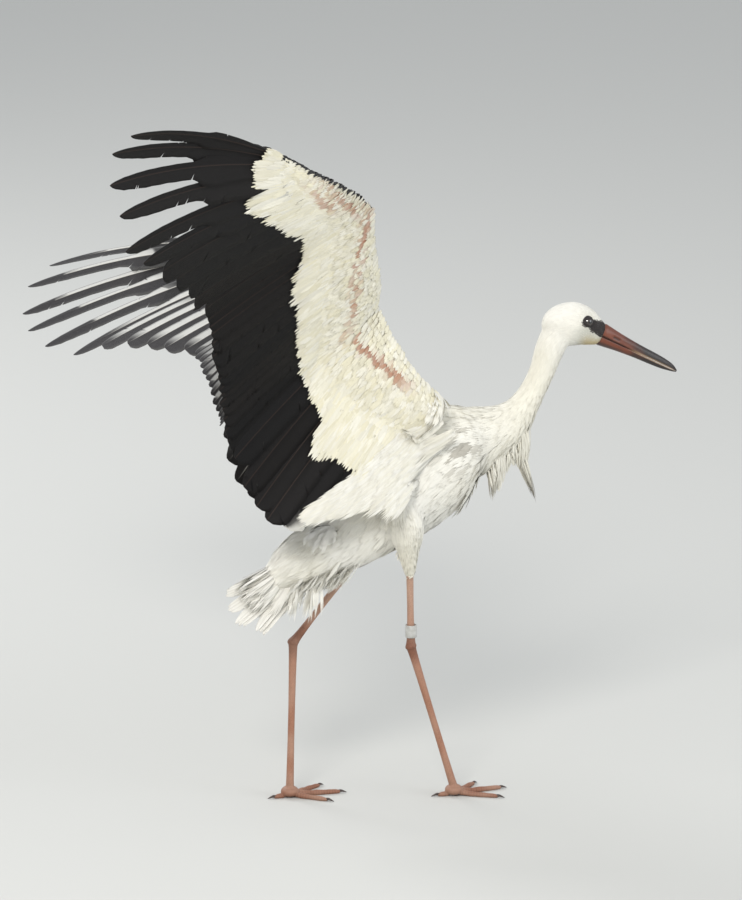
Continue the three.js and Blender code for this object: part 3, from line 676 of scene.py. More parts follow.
def leg_shell(name):
    """Bare leg and foot. The top reaches up inside the thigh."""
    leg = LEGS[name]
    bare, ankle, foot = (np.array(leg[key], float) for key in ("bare", "ankle", "foot"))
    sole = foot * (1, 1, 0)
    drop, down = unit(ankle - bare), unit(foot - ankle)
    shell = Shell()
    limb = f"leg_{name}"
    shin = [[*(bare - drop * 22), 5.0, 0.95], [*bare, 5.4, 0.92], [*mix(bare, ankle, 0.5), 5.0, 0.9],
            [*(ankle - drop * 14), 6.2, 0.95], [*ankle, 8.2, 1]]
    tarsus = [[*(ankle - down * 6), 5.6, 1], [*ankle, 8.7, 0.95], [*(ankle + down * 14), 6.4, 0.85],
              [*mix(ankle, foot, 0.5), 5.1, 0.85], [*(foot - down * 16), 5.8, 1], [*foot, 7.2, 1]]
    for line in (shin, tarsus):
        shell.add_limb(limb, line, sides=24, steps=8)
    palm = ball_grid(sole + [0, 0, PALM_HEIGHT], PALM)
    shell.add(limb, palm, [0, 0, -1.0], np.linspace(0, 1, len(palm)))
    for _, length, turn, radius, joints in TOES:
        share = np.linspace(0, 1, 9)
        x = mix(4, length + 1.5, share)
        swell = 1 + 0.1 * np.cos(2 * math.pi * (share * joints + 0.45))
        thick = radius * np.interp(share, [0, 0.3, 0.75, 1], [1.05, 1, 0.92, 0.66]) * swell
        rise = np.interp(share, [0, 0.3, 1], [6.6, 0.84 * radius, 0.62 * radius])
        line = np.column_stack([x, 0 * x, rise, thick, np.full(9, 1.02)])
        line[:, :3] = line[:, :3] @ toe_turn(leg, turn) + sole
        shell.add_limb(limb, line, sides=16, steps=3)
    for toe in ("inner", "outer"):
        turn = next(t[2] for t in TOES if t[0] == toe)
        web = []
        for reach in np.linspace(*WEB_REACH, 6):
            a, b = (np.array([reach, 0, WEB_RISE]) @ toe_turn(leg, way) for way in (0, turn))
            line = [mix(a, b, f) * (1 - WEB_SLACK * math.sin(math.pi * f)) for f in np.linspace(0, 1, 7)]
            line = np.array(line) + sole
            web.append(np.concatenate([line + [0, 0, WEB_HALF], line[::-1] - [0, 0, WEB_HALF]]))
        shell.add(limb, np.array(web), [1.0, 0, 0], np.linspace(0, 1, len(web)))
    return shell


def across_quads(points, quads):
    """Normals of quads, twice as long as their areas."""
    return np.cross(points[quads[:, 2]] - points[quads[:, 0]], points[quads[:, 3]] - points[quads[:, 1]])


def vertex_normals(points, quads):
    face = across_quads(points, quads)
    out = np.zeros_like(points)
    for k in range(4):
        np.add.at(out, quads[:, k], face)
    return unit(out)


def spread_out(values, quads, rounds):
    """Values at the points of a mesh of quads, blurred over it."""
    a = quads.reshape(-1)
    b = np.roll(quads, -1, axis=1).reshape(-1)
    count = np.bincount(a, minlength=len(values))[:, None] + np.bincount(b, minlength=len(values))[:, None]
    for _ in range(rounds):
        total = np.zeros_like(values)
        for column in range(values.shape[1]):
            total[:, column] = np.bincount(a, values[b, column], len(values))
            total[:, column] += np.bincount(b, values[a, column], len(values))
        values = 0.5 * values + 0.5 * total / np.maximum(count, 1)
    return values


def atlas(marks, quads):
    """OFBake corners of the skin: each limb is unrolled into its own strip of the square."""
    owner = marks[quads[:, 0], 0].astype(int)
    longest = np.array([marks[marks[:, 0] == k, 1].max(initial=1e-6) for k in range(len(LIMBS))])
    lengthwise = np.clip(marks[quads, 1] / longest[owner][:, None], 0, 1)
    turn = marks[quads, 2]
    turn = turn - np.round(turn - turn[:, :1])     # a face over the strip's seam stays in one piece
    u = (owner[:, None] + 0.08 + 0.84 * np.clip(turn, -0.05, 1.05)) / len(LIMBS)
    return np.stack([u, 0.02 + 0.96 * lengthwise], -1)


class Skin:
    """The body's skin with what the coat asks of it: the nearest point, normal, lie and unwrap."""

    def __init__(self):
        shell = body_shell()
        self.points, self.quads = shell.union(BODY_VOXEL, rounds=10)
        self.marks = shell.marks_at(self.points)
        self.normals = unit(spread_out(vertex_normals(self.points, self.quads), self.quads, rounds=4))
        self.flow = unit(spread_out(self.marks[:, 3:6].copy(), self.quads, rounds=24))
        self.tree = BVHTree.FromPolygons(self.points.tolist(), self.quads.tolist())
        self.uv = atlas(self.marks, self.quads)
        self.middles = self.points[self.quads].mean(1)
        self.facing = self.normals[self.quads].mean(1)

    def nearest(self, points):
        """Index of the nearest face, and the point on it, for each point."""
        found = [self.tree.find_nearest(p) for p in np.asarray(points).reshape(-1, 3).tolist()]
        return np.array([f[2] for f in found]), np.array([f[0][:] for f in found])

    def at(self, values, faces):
        """Mean over each face's corners of values given at the skin's points."""
        return values[self.quads[faces]].mean(1)

    def normal(self, faces):
        return unit(self.facing[faces])

    def on(self, *limbs):
        """Which faces belong to those limbs."""
        return np.isin(self.marks[self.quads[:, 0], 0], [LIMBS.index(limb) for limb in limbs])


skin = Skin()

# ---------------------------------------------------------------------------
# Markings, with painted shade and light, the same on skin and coat
# ---------------------------------------------------------------------------

# How far behind the bone the coverts under the wing reach, and those above it. Between the two: how deep the
# black front edge is under the hand.
UNDER_REACH = [
    [0.0, 150], [0.27, 158], [0.47, 162], [0.59, 180], [0.68, 132], [0.87, 110], [1.0, 101], [1.38, 112],
    [1.77, 128], [1.95, 116], [2.10, 110], [2.25, 126], [2.42, 140], [2.54, 166], [2.65, 142], [2.80, 118],
    [2.90, 82], [3.0, 52],
]
LEADING_BLACK = [[0, 0], [1.95, 0], [2.08, 6], [2.3, 9], [2.5, 11], [2.7, 17], [2.9, 26], [3.0, 30]]
UPPER_REACH = [[0, 120], [0.5, 140], [1, 125], [1.5, 120], [2, 125], [2.5, 140], [3, 110]]
SHOULDER_STAIN, NAPE_STAIN = [128, -62, 545], [176, -22, 586]      # middles of the soiled patches


def body_tint(points):
    """White plumage with a cream cast, soiled in places before the shoulder and on the nape. The lower front
    of the body is greyed as painted shade, and the rump whitened as painted light.
    """
    cast = wave_noise(points, 55, 3)[:, None]
    tint = mix(WHITE, CREAM, 0.45 * cast)
    # Painted shade: grey laid over the lower front of the body.
    below = smooth(520, 420, points[:, 2:]) * smooth(0, 100, points[:, :1])
    tint = mix(tint, SHADE, 0.3 * below)
    stain = smooth(46, 10, np.linalg.norm((points - SHOULDER_STAIN) * [0.8, 0.5, 0.9], axis=-1))
    stain = stain * smooth(0.5, 0.75, wave_noise(points, 9, 5))
    nape = smooth(24, 4, np.linalg.norm(points - NAPE_STAIN, axis=-1))
    nape = nape * smooth(0.5, 0.8, wave_noise(points, 7, 6))
    tint = mix(tint, SOIL, np.clip(0.55 * stain + 0.4 * nape, 0, 0.7)[:, None])
    # Painted light: the rump and the tail's root are made whiter, as if in sun.
    return mix(tint, WHITE * 1.02, 0.6 * smooth(-60, -130, points[:, :1]))


def bare_face_and_shade(points):
    """1 on the dark bare skin round the eye and towards the bill, 0 under feathers. Near the bill the band is
    drawn wider than the bare skin, up towards the bill's ridge: that part is painted shade.
    """
    x, z = points[:, 0], points[:, 2]
    eye = np.hypot((x - 321.5) / 10.2, (z - 706.8) / 8.8)
    share = np.clip((x - 322) / (350 - 322), 0, 1)
    # Painted shade: the lore band widens towards the bill, past the bare skin.
    lore = np.abs(z - mix(704, 689, share)) / mix(8.5, 13, share) + 2 * smooth(326, 318, x)
    side = np.abs(points[:, 1]) / np.interp(x, [300, 330, 352], [15, 9.5, 4])
    return smooth(1.08, 0.92, np.minimum(eye, lore)) * smooth(0.75, 1.0, side)


def chin_and_reflection_share(points, normals):
    """How yellow plumage and skin are under the chin, where they face down: partly the bare chin's own
    colour, partly a painted reflection of light from the ground.
    """
    return 0.7 * smooth(-0.2, -0.75, normals[:, 2]) * smooth(306, 328, points[:, 0])


def covert_tint(where, distance, side):
    """Colour of a wing covert whose middle is there; side is 1 above the wing and -1 under it."""
    grey = random.uniform(0, 1, (len(where), 1))
    black = mix(BLACK, BROWN_BLACK, grey)
    if side < 0:
        # Painted light: the white under-coverts are creamed, for light shining through the wing and reflected
        # up from the ground.
        light = mix(WHITE, CREAM, 0.35 + 0.65 * grey)
        dark = distance + along(LEAD, where) < along(LEADING_BLACK, where)
    else:
        light = mix(WHITE, SHADE, 0.5 * grey)
        dark = (arm_share(where, distance) > mix(0.66, 0.4, smooth(1.6, 2.1, where))) | (where > 2.12)
    return np.where(dark[:, None], black, light)


def rust_share(where, distance):
    """How rusty the bases of the under-coverts are, in broken streaks along the bones."""
    bone = smooth(12, 3, np.abs(distance - 4)) * smooth(0.25, 0.5, where) * smooth(2.75, 2.3, where)
    hand = smooth(10, 3, np.abs(distance - 26)) * smooth(2.12, 2.3, where) * smooth(2.7, 2.4, where)
    streak = wave_noise(np.stack([where * 60, distance * 3, 0 * where], -1), 13, 8)
    return np.clip((bone + 0.8 * hand) * smooth(0.2, 0.6, streak), 0, 1)


# ---------------------------------------------------------------------------
# Tufts
# ---------------------------------------------------------------------------

PATCH = 0.003                      # size of a tuft's patch on the skin's unwrap
STATIONS = 5                       # points along the middle line of a tuft

# Kinds of tuft: for each blade its offset to the side, half-width and length, as shares of the tuft's.
BROAD = [(0.0, 0.52, 1.0), (-0.55, 0.38, 0.91), (0.55, 0.38, 0.93)]
FINE = [(0.0, 0.42, 1.0), (-0.6, 0.32, 0.88), (0.6, 0.32, 0.9)]
RAGGED = [(0.0, 0.3, 1.0), (-0.5, 0.27, 0.88), (0.5, 0.27, 0.92), (-0.95, 0.22, 0.76), (0.95, 0.22, 0.78)]
FULL = [(0.0, 0.44, 1.0), (-0.55, 0.38, 0.96), (0.55, 0.38, 0.97), (-1.0, 0.3, 0.9), (1.0, 0.3, 0.91)]
# Outlines of a blade: shares of its length, and its half-width at each.
BLUNT = [0.0, 0.35, 0.7, 0.93], [0.45, 0.95, 1.0, 0.6]
SHORT = [0.0, 0.4, 0.78], [0.6, 1.0, 0.72]
LONG = [0.0, 0.25, 0.55, 0.82], [0.45, 0.9, 1.0, 0.66]


def turned_to(path, facing):
    """Normals and directions across of tufts along paths, with their upper sides facing that way."""
    tangent = unit(np.gradient(path, axis=1))
    across = unit(np.cross(facing, tangent))
    return np.cross(tangent, across), across


class Coat:
    """Tufts gathered for one piece. Each tuft is a few blades: closed, ridged, pointed strips."""

    def __init__(self):
        self.points, self.tints, self.vanes, self.uvs, self.faces, self.creases = [], [], [], [], [], []
        self.count = 0

    def add(self, path, normal, across, width, lift, spec, root_tint, tip_tint, root_uv, profile=LONG):
        """path, normal, across and lift have STATIONS rows for each tuft, spec a row for each of its blades.

        profile is the outline of a blade before its pointed tip."""
        n = len(path)
        rings, shape = np.append(profile[0], 1.0), np.append(profile[1], 0.0)
        rows = np.arange(n)[:, None]
        width = width[:, None]
        length = np.linalg.norm(np.diff(path, axis=1), axis=-1).sum(1)[:, None]
        jitter = random.uniform(-1, 1, (n, len(spec), 3))
        body = slice(0, len(rings) - 1)
        per = 4 * (len(rings) - 1) + 1
        for b, (offset, share, reach) in enumerate(spec):
            longer, shifted, raised = (jitter[:, b, k:k + 1] for k in range(3))
            ring = rings[None] * np.clip(reach * (1 + 0.09 * longer), 0, 1)
            station = ring * (STATIONS - 1)
            i = np.minimum(station.astype(int), STATIONS - 2)
            f = (station - i)[..., None]
            middle, up, out = (mix(v[rows, i], v[rows, i + 1], f) for v in (path, normal, across))
            height = mix(lift[rows, i], lift[rows, i + 1], f[..., 0])
            fan = np.interp(rings, [0, 0.5, 1], [0.4, 1.0, 1.12])[None]
            aside = (offset + 0.12 * shifted) * fan
            height = height - 0.1 * aside ** 2 * width + 0.06 * width * raised * rings
            middle = middle + out * (aside * width)[..., None] + up * height[..., None]
            half = width * share * shape[None]
            ridge = (half * 0.06 + 0.1)[..., None]
            corners = np.stack([
                middle - out * half[..., None], middle + up * ridge,
                middle + out * half[..., None], middle - up * (ridge * 0.25 + 0.05)], 2)[:, body]
            self.points.append(np.concatenate([corners.reshape(n, -1, 3), middle[:, -1:]], 1).reshape(-1, 3))
            self.creases.append(np.tile(np.append(np.tile([1, 0, 2, 0], len(rings) - 1), TIP_CREASE), n))
            blend = np.append(np.repeat(rings[body], 4), 1.0)[None, :, None]
            # Painted shade: the lowest corner of each ring, under the blade, is darker.
            shade = np.append(np.tile([1.0, 1.0, 1.0, 0.86], len(rings) - 1), 1.0)[None, :, None]
            tint = mix(root_tint[:, None], tip_tint[:, None], blend) * shade * (1 + 0.03 * longer[..., None])
            self.tints.append(tint.reshape(-1, 3))
            sideways = np.stack([-half, 0 * half, half, 0 * half], 2)[:, body].reshape(n, -1)
            sideways = np.concatenate([sideways, np.zeros((n, 1))], 1)
            onward = np.concatenate([np.repeat(ring[:, body] * length, 4, 1), ring[:, -1:] * length], 1)
            self.vanes.append(np.stack([sideways, onward, 0 * onward], -1).reshape(-1, 3))
            patch = np.stack([(sideways / width + offset) * 0.25, onward / length - 0.5], -1) * PATCH
            self.uvs.append((root_uv[:, None] + patch).reshape(-1, 2))
            first = self.count + np.arange(n)[:, None, None] * per
            quads = tube_faces(len(rings) - 1, 4)
            ends = np.array([[per - 5 + k, per - 5 + (k + 1) % 4, per - 1] for k in range(4)])
            self.faces.append((first + quads[None]).reshape(-1, 4))
            self.faces.append((first + ends[None]).reshape(-1, 3))
            self.faces.append((first[:, :, 0] + np.array([[3, 2, 1, 0]])).reshape(-1, 4))
            self.count += n * per

    def lay(self, path, facing, spec, tint, width, tip=None, faces=None):
        """Tufts of one width along given paths, turned to face that way, a little darker at the root as
        painted shade under the coat.
        """
        normal, across = turned_to(path, facing)
        if faces is None:
            faces, _ = skin.nearest(path[:, 0])
        self.add(path, normal, across, np.full(len(path), width), np.zeros(path.shape[:2]), spec, 0.95 * tint,
                 tint if tip is None else tip, skin.uv[faces].mean(1))

    def finish(self, name):
        piece(name, np.concatenate(self.points), join_faces(*self.faces), [SOFT_PLUMAGE],
              tint=np.concatenate(self.tints), vane=np.concatenate(self.vanes), uv=np.concatenate(self.uvs),
              crease=np.concatenate(self.creases))


# For each limb: station, then spacing, length, half-width and lift at the tip of its tufts.
TUFTS = {
    "trunk": [[0, 6.7, 36, 4.6, 1.9], [3, 7.6, 46, 5.6, 2.1], [7, 8.0, 54, 5.8, 2.6]],
    "neck": [[0, 6.2, 38, 4.8, 2.4], [2, 5.6, 36, 4.2, 1.9], [4, 4.4, 26, 3.0, 1.1], [6, 3.6, 19, 2.5, 0.65],
             [8, 3.2, 14, 2.2, 0.5]],
    "head": [[0, 3.1, 13, 2.2, 0.5], [3, 2.7, 9, 2.0, 0.4], [5, 2.2, 6.5, 1.6, 0.35],
             [7, 1.8, 4.2, 1.1, 0.25]],
    "coverts": [[0, 7.2, 50, 5.2, 3.4], [2.5, 7.0, 66, 5.0, 4.0], [5, 6.5, 62, 4.6, 4.5]],
    "thigh_right": [[0, 6.5, 36, 5.4, 3.0], [1, 6.2, 32, 5.0, 3.0], [2, 5.0, 24, 3.8, 2.4],
                    [3, 4.0, 17, 2.8, 1.8]],
    "arm_right": [[0, 6.6, 32, 5.0, 1.4], [3, 7.0, 30, 5.4, 1.4]],
}
TUFTS["thigh_left"], TUFTS["arm_left"] = TUFTS["thigh_right"], TUFTS["arm_right"]


def from_eye(points):
    """Distance from the nearer eye's centre."""
    return np.minimum(*(np.linalg.norm(points - EYE_CENTRE * (1, side, 1), axis=-1) for side in (-1, 1)))


def tuft_fields():
    """Spacing, length, half-width and lift at each point of the skin, blended where limbs meet."""
    fields = np.zeros((len(skin.points), 4))
    for k, limb in enumerate(LIMBS):
        mine = skin.marks[:, 0] == k
        if limb in TUFTS and mine.any():
            fields[mine] = along(TUFTS[limb], skin.marks[mine, 1])
    fields = spread_out(fields, skin.quads, rounds=6)
    near = smooth(20, 11, from_eye(skin.points))[:, None]
    return mix(fields, np.array([1.9, 4.4, 1.1, 0.45]), near)


# Roots tried for each square of the spacing, and the share of it that they keep from one another.
TRIALS, CLOSEST = 5.0, 0.84


def scatter(fields, faces):
    """Roots spread evenly over some faces of the skin: face numbers, points and places on the unwrap."""
    area = 0.5 * np.linalg.norm(across_quads(skin.points, skin.quads[faces]), axis=-1)
    spacing = skin.at(fields, faces)[:, 0]
    picks = np.repeat(faces, random.poisson(TRIALS * area / spacing ** 2))
    u, v = random.uniform(0, 1, (2, len(picks), 1))
    corners, uv = skin.points[skin.quads[picks]], skin.uv[picks]
    weights = [(1 - u) * (1 - v), u * (1 - v), u * v, (1 - u) * v]
    points = sum(w * corners[:, k] for k, w in enumerate(weights))
    places = sum(w * uv[:, k] for k, w in enumerate(weights))
    tree = KDTree(len(points))
    for k, p in enumerate(points.tolist()):
        tree.insert(p, k)
    tree.balance()
    alive = np.ones(len(points), bool)
    reach = skin.at(fields, picks)[:, 0] * CLOSEST
    for k, p in enumerate(points.tolist()):
        if alive[k]:
            for _, other, _ in tree.find_range(p, reach[k]):
                if other > k:
                    alive[other] = False
    return picks[alive], points[alive], places[alive]


def march(points, faces, length, sway):
    """Middle lines of tufts that lie along the coat but don't bend round sharp turns of the skin."""
    path, normals, acrosses = [points], [], []
    step = length[:, None] / (STATIONS - 1)
    here = points
    normal = skin.normal(faces)
    turn = random.normal(0, sway, (len(points), 1))
    flow = square_to(skin.at(skin.flow, faces), normal)
    way = unit(flow + np.cross(normal, flow) * turn)
    for k in range(STATIONS):
        normals.append(normal)
        acrosses.append(unit(np.cross(normal, way)))
        if k == STATIONS - 1:
            break
        ahead = here + way * step
        at, landed = skin.nearest(ahead)
        under = skin.normal(at)
        height = ((ahead - landed) * under).sum(-1, keepdims=True)
        free = smooth(0.1, 0.35, height / step)
        here = mix(landed, ahead - under * 0.1 * step, free)
        path.append(here)
        flow = square_to(skin.at(skin.flow, at), under)
        bent = unit(mix(way, flow + np.cross(under, flow) * turn, 0.6))
        way = unit(mix(bent, way - under * 0.08, free))
        normal = unit(mix(under, np.cross(way, unit(np.cross(normal, way))), free))
    return np.stack(path, 1), np.stack(normals, 1), np.stack(acrosses, 1)


SHOULDER_TO = 0.13                 # place on the wing to which the trunk's tufts reach
LID_REACH = 10.4                   # from an eye's centre to the first feathers round its lids


def head_tint(tint, points, normals, face):
    """The head's feathers: greyer on the cheek as painted shade, yellow on the chin, and dark where the face
    is bare.
    """
    # Painted shade: the cheek below the eye and towards the bill is greyed.
    tint = mix(tint, CHEEK_SHADE, 0.5 * smooth(292, 316, points[:, :1]) * smooth(706, 694, points[:, 2:]))
    tint = mix(tint, CHIN_SKIN_AND_REFLECTION, chin_and_reflection_share(points, normals)[:, None])
    return mix(tint, BARE_FACE * random.uniform(0.8, 1.9, (len(tint), 1)), face)


def body_coat():
    """Contour feathers of trunk, neck, head, vent, thighs and shoulders."""
    fields = tuft_fields()
    station = skin.marks[skin.quads[:, 0], 1]
    shoulder = skin.on("arm_right", "arm_left") & (station < SHOULDER_TO)
    bare = from_eye(skin.middles) < LID_REACH
    rump = skin.on("coverts") & (skin.facing @ TAIL_WAY > 0.72)
    t = np.linspace(0, 1, STATIONS)[None]
    for name, chosen, spec, profile, sway in (
            ("coat_trunk", skin.on("trunk") | shoulder, BROAD, LONG, 0.11),
            ("coat_neck", skin.on("neck"), FINE, LONG, 0.11),
            ("coat_head", skin.on("head"), FINE, SHORT, 0.07),
            ("coat_vent", skin.on("coverts"), RAGGED, LONG, 0.11),
            ("coat_thighs", skin.on("thigh_right", "thigh_left"), RAGGED, LONG, 0.11)):
        at, points, uv = scatter(fields, np.flatnonzero(chosen & ~bare & ~rump))
        size = skin.at(fields, at)
        length = size[:, 1] * random.uniform(0.84, 1.14, len(at))
        width, lift = size[:, 2], size[:, 3]
        path, normal, across = march(points, at, length, sway)
        fluff = random.uniform(0.75, 1.2, (len(at), 1))
        if name == "coat_neck":
            shaggy = smooth(0.1, 0.8, skin.facing[at] @ [0.75, 0, -0.66])
            lift = lift * (1 + 1.6 * shaggy * smooth(300, 270, points[:, 0]))
        sunk = np.minimum(1.0, 0.3 * lift)[:, None]
        height = -sunk + (lift[:, None] + sunk) * fluff * t ** 0.8
        tint = body_tint(points) * random.uniform(0.96, 1.02, (len(at), 1))
        if name == "coat_head":
            face = smooth(0.3, 0.5, bare_face_and_shade(points))[:, None]
            tint = head_tint(tint, points, skin.normal(at), face)
            width = width * (1 - 0.45 * face[:, 0])
        coat = Coat()
        # The root of each tuft is painted a little darker, as shade under the tufts over it.
        coat.add(path, normal, across, width, height, spec, 0.94 * tint, tint, uv, profile)
        coat.finish(name)


# ---------------------------------------------------------------------------
# Wing coverts
# ---------------------------------------------------------------------------

SMALL_ROWS, LONG_ROWS = 13, 7


def covert_rows(plan, side):
    """Coverts in rows on one face of a wing: place, distance of the root, length and half-width of each."""
    rows = []
    broader, sparser = (1, 1) if side < 0 else (1.15, 1.25)
    lead, back = partial(along, LEAD), partial(along, ARM_BACK)
    reach = partial(along, UNDER_REACH if side < 0 else UPPER_REACH)

    def row(start, length, width, spacing, low=0.07, high=2.98, wild=0.08):
        """start and length are functions of the place along the wing."""
        sample = np.linspace(low, high, 60)
        span = np.linalg.norm(np.diff(plan.point(sample, start(sample)), axis=0), axis=-1)
        travel = np.concatenate([[0], np.cumsum(span)])
        count = int(travel[-1] / (sparser * spacing))
        spots = np.arange(count) + random.uniform(0, 1) + random.uniform(-0.25, 0.25, count)
        where = np.clip(np.interp(spots / count * travel[-1], travel, sample), 0.02, 2.99)
        vary = 1 + wild * random.uniform(-1, 1, count)
        roots = start(where) + random.uniform(-1.5, 1.5, count)
        rows.append((where, roots, length(where) * vary, np.full(count, broader * width)))

    # Small coverts lie over the arm, from its front edge back.
    for k in range(SMALL_ROWS):
        share = 0.015 + 0.062 * k
        row(lambda w, s=share: -lead(w) + s * (lead(w) + back(w)), lambda w, s=share: 15 + 26 * s + 0 * w,
            4.0 + 4.2 * share, 6.5 + 3.0 * share)
    # Longer ones start near the arm's back edge, and their tips reach ever farther behind it.
    for k in range(LONG_ROWS):
        share = 0.22 + 0.13 * k

        def start(where, s=share):
            return back(where) - 34 + 0.42 * s * (reach(where) - back(where) + 34)

        def length(where, s=share, start=start):
            return back(where) + s * (reach(where) - back(where)) - start(where)

        row(start, length, 6.6, 8.0, wild=0.05 + 0.05 * share)
        if side < 0:
            row(start, length, 7.4, 7.0, low=0.08, high=0.85, wild=0.06)
    return [np.concatenate(columns) for columns in zip(*rows)]


def lay_on_skin(path, chosen, height, most):
    """Feather lines moved to a height over the skin where they are chosen and run within most of it.

    From where a line first leaves the skin, it goes its own way."""
    rows = np.flatnonzero(chosen.any(1))
    if not len(rows):
        return path
    shape = len(rows), STATIONS
    flat = path[rows].reshape(-1, 3)
    at, landed = skin.nearest(flat)
    above = landed + skin.normal(at) * np.tile(height, len(rows))[:, None]
    near = smooth(most, most * 0.4, np.linalg.norm(flat - landed, axis=-1)).reshape(shape) * chosen[rows]
    near = np.minimum.accumulate(near, 1)[..., None]
    path = path.copy()
    path[rows] = mix(path[rows], above.reshape(*shape, 3), near)
    return path


DRAPE_DRIFT = 0.0015               # how far along the wing a drape's feathers run with each millimetre


def drapes(plan):
    """Long white axillaries and flank feathers that hang over the inner flight feathers, under the wing."""
    t = np.linspace(0, 1, STATIONS)
    root, distance = np.meshgrid(np.arange(-0.3, 0.30, 0.0118), np.arange(20, 262, 9.0), indexing="ij")
    root = (root + random.uniform(-0.006, 0.006, root.shape)).reshape(-1)
    distance = (distance + random.uniform(-4, 4, distance.shape)).reshape(-1)
    where = root + DRAPE_DRIFT * (np.minimum(distance, 236) - 154)
    length = random.uniform(42, 66, len(where))
    tip = root + 0.0008 * length
    feather = plan.length(np.maximum(where, 0))
    length = np.minimum(length, feather + mix(60, 0, smooth(0.22, 0.38, where)) - distance)
    keep = (tip < 0.298) & (distance < feather * 0.93) & (length > 18)
    keep &= random.uniform(0, 1, len(where)) < smooth(-0.22, 0.02, where)
    where, distance, length = (v[keep][:, None] for v in (where, distance, length))
    spots = np.minimum(where + (DRAPE_DRIFT + 0.0004) * length * t, 1)
    reach = distance + length * t
    height = plan.thickness(np.maximum(spots, 0), np.minimum(reach, 400)) + 1.0 + 1.8 * t
    path = plan.point(spots, reach, -height - 2.4 * smooth(0.3, 0.0, spots))
    path = lay_on_skin(path, spots < 0.5, 0.8 + 2.2 * t, 26)
    tint = mix(WHITE, CREAM, random.uniform(0.0, 0.4, where.shape)) * random.uniform(0.93, 1.02, where.shape)
    coat = Coat()
    coat.lay(path, -plan.face(spots), RAGGED, tint, width=4.6)
    coat.finish(f"axillaries_{plan.name}")


def wing_coverts(plan, side):
    """Coverts of one face of a wing, laid like roof tiles from its front edge back."""
    where, root, length, width = covert_rows(plan, side)
    t = np.linspace(0, 1, STATIONS)
    drift = random.normal(0, 0.012, (len(where), 1)) * t
    spots = np.clip(where[:, None] + drift, 0.0, 3.0)
    distance = root[:, None] + length[:, None] * t
    height = plan.thickness(spots, distance) - 2.6 + 2.2 * t[None] ** 0.7
    # Behind the arm, coverts stand at least this far off the wing's middle surface.
    clear = 3.4 if side < 0 else 2.4
    height = np.maximum(height, mix(1.0, clear, smooth(-14, 22, distance - along(ARM_BACK, spots))))
    path = lay_on_skin(plan.point(spots, distance, side * height), spots < 0.5, 1.2 + 1.4 * t, 12)
    normal, across = turned_to(path, plan.face(spots) * side)
    faces, _ = skin.nearest(plan.point(where, np.minimum(root, along(ARM_BACK, where) * 0.8), side * 1.0))
    uv = skin.uv[faces].mean(1)
    tint = covert_tint(where, root + 0.6 * length, side) * random.uniform(0.92, 1.05, (len(where), 1))
    lift = random.uniform(-0.3, 0.5, (len(where), 1)) * t
    small, dark = length < 38, tint.mean(-1) < 0.1
    rust = (rust_share(where, root + 0.4 * length) * (side < 0) * ~dark * small)[:, None]
    # Each covert's root is painted a little darker as shade, and rusty where the streaks run.
    base = mix(tint * 0.95, RUST, 0.95 * rust)
    tint = mix(tint, RUST, 0.6 * rust)
    coat = Coat()
    for chosen, spec, profile in ((small | dark, BROAD, LONG), (~small & ~dark, FULL, BLUNT)):
        if chosen.any():
            coat.add(path[chosen], normal[chosen], across[chosen], width[chosen], lift[chosen], spec,
                     base[chosen], tint[chosen], uv[chosen], profile)
    kind = "under" if side < 0 else "upper"
    coat.finish(f"coverts_{kind}_{plan.name}")


# ---------------------------------------------------------------------------
# Flight and tail feathers
# ---------------------------------------------------------------------------

# Places across a vane, from its trailing to its leading edge. The two BY_SHAFT lie close beside the shaft.
BY_SHAFT = 0.12
COLUMNS = np.array([-1, -0.72, -0.4, -BY_SHAFT, 0, BY_SHAFT, 0.4, 0.72, 1.0])
BASE_ROWS, SPLITS = 26, 4
SHAFT_RIDGE = 1.15, 0.25           # how far a shaft stands out of its vane, at its root and tip
VANE_HALF = 0.42, 0.26             # half-thickness of a vane, by the shaft and at its edges


def row_shares(length):
    """Shares of each feather's length at which it has a row, close together where its vane is split.

    With them come the shares of their width that leading and trailing vane keep there."""
    n = len(length)
    base = 1 - (1 - np.linspace(0, 1, BASE_ROWS)) ** 1.35
    split = random.uniform(0.35, 0.96, (n, SPLITS))
    near = 1.8 / length[:, None]
    shares = np.concatenate([np.tile(base, (n, 1)), split - near, split, split + near], 1)
    order = np.argsort(shares, 1)

    def at_splits(values):
        values = np.pad(values, ((0, 0), (BASE_ROWS + SPLITS, SPLITS)))
        return np.take_along_axis(values, order, 1)

    depth = at_splits(random.uniform(0.12, 0.6, (n, SPLITS)))
    sides = at_splits(random.choice([-1, 1, 1], (n, SPLITS)))
    shares = np.clip(np.take_along_axis(shares, order, 1), 0, 1)
    return shares, 1 - depth * (sides < 0), 1 - depth * (sides > 0)


def rounded(shares, blunt):
    """Half-width of a round tip that begins at the share blunt."""
    return np.sqrt(np.clip(1 - (np.clip(shares - blunt, 0, 1) / (1 - blunt)) ** 2, 0.0008, 1))


def spaced(low, high, count):
    """The middles of equal steps from low to high."""
    return mix(low, high, (np.arange(count) + 0.5) / count)


def on_shaft(column):
    return np.abs(column) < 1e-6


def both_faces(upper, lower):
    """Rows round each feather: over its upper face, and back over its lower one."""
    return np.stack([upper, lower[:, :, ::-1]], 2).reshape(*upper.shape[:2], -1, 3)


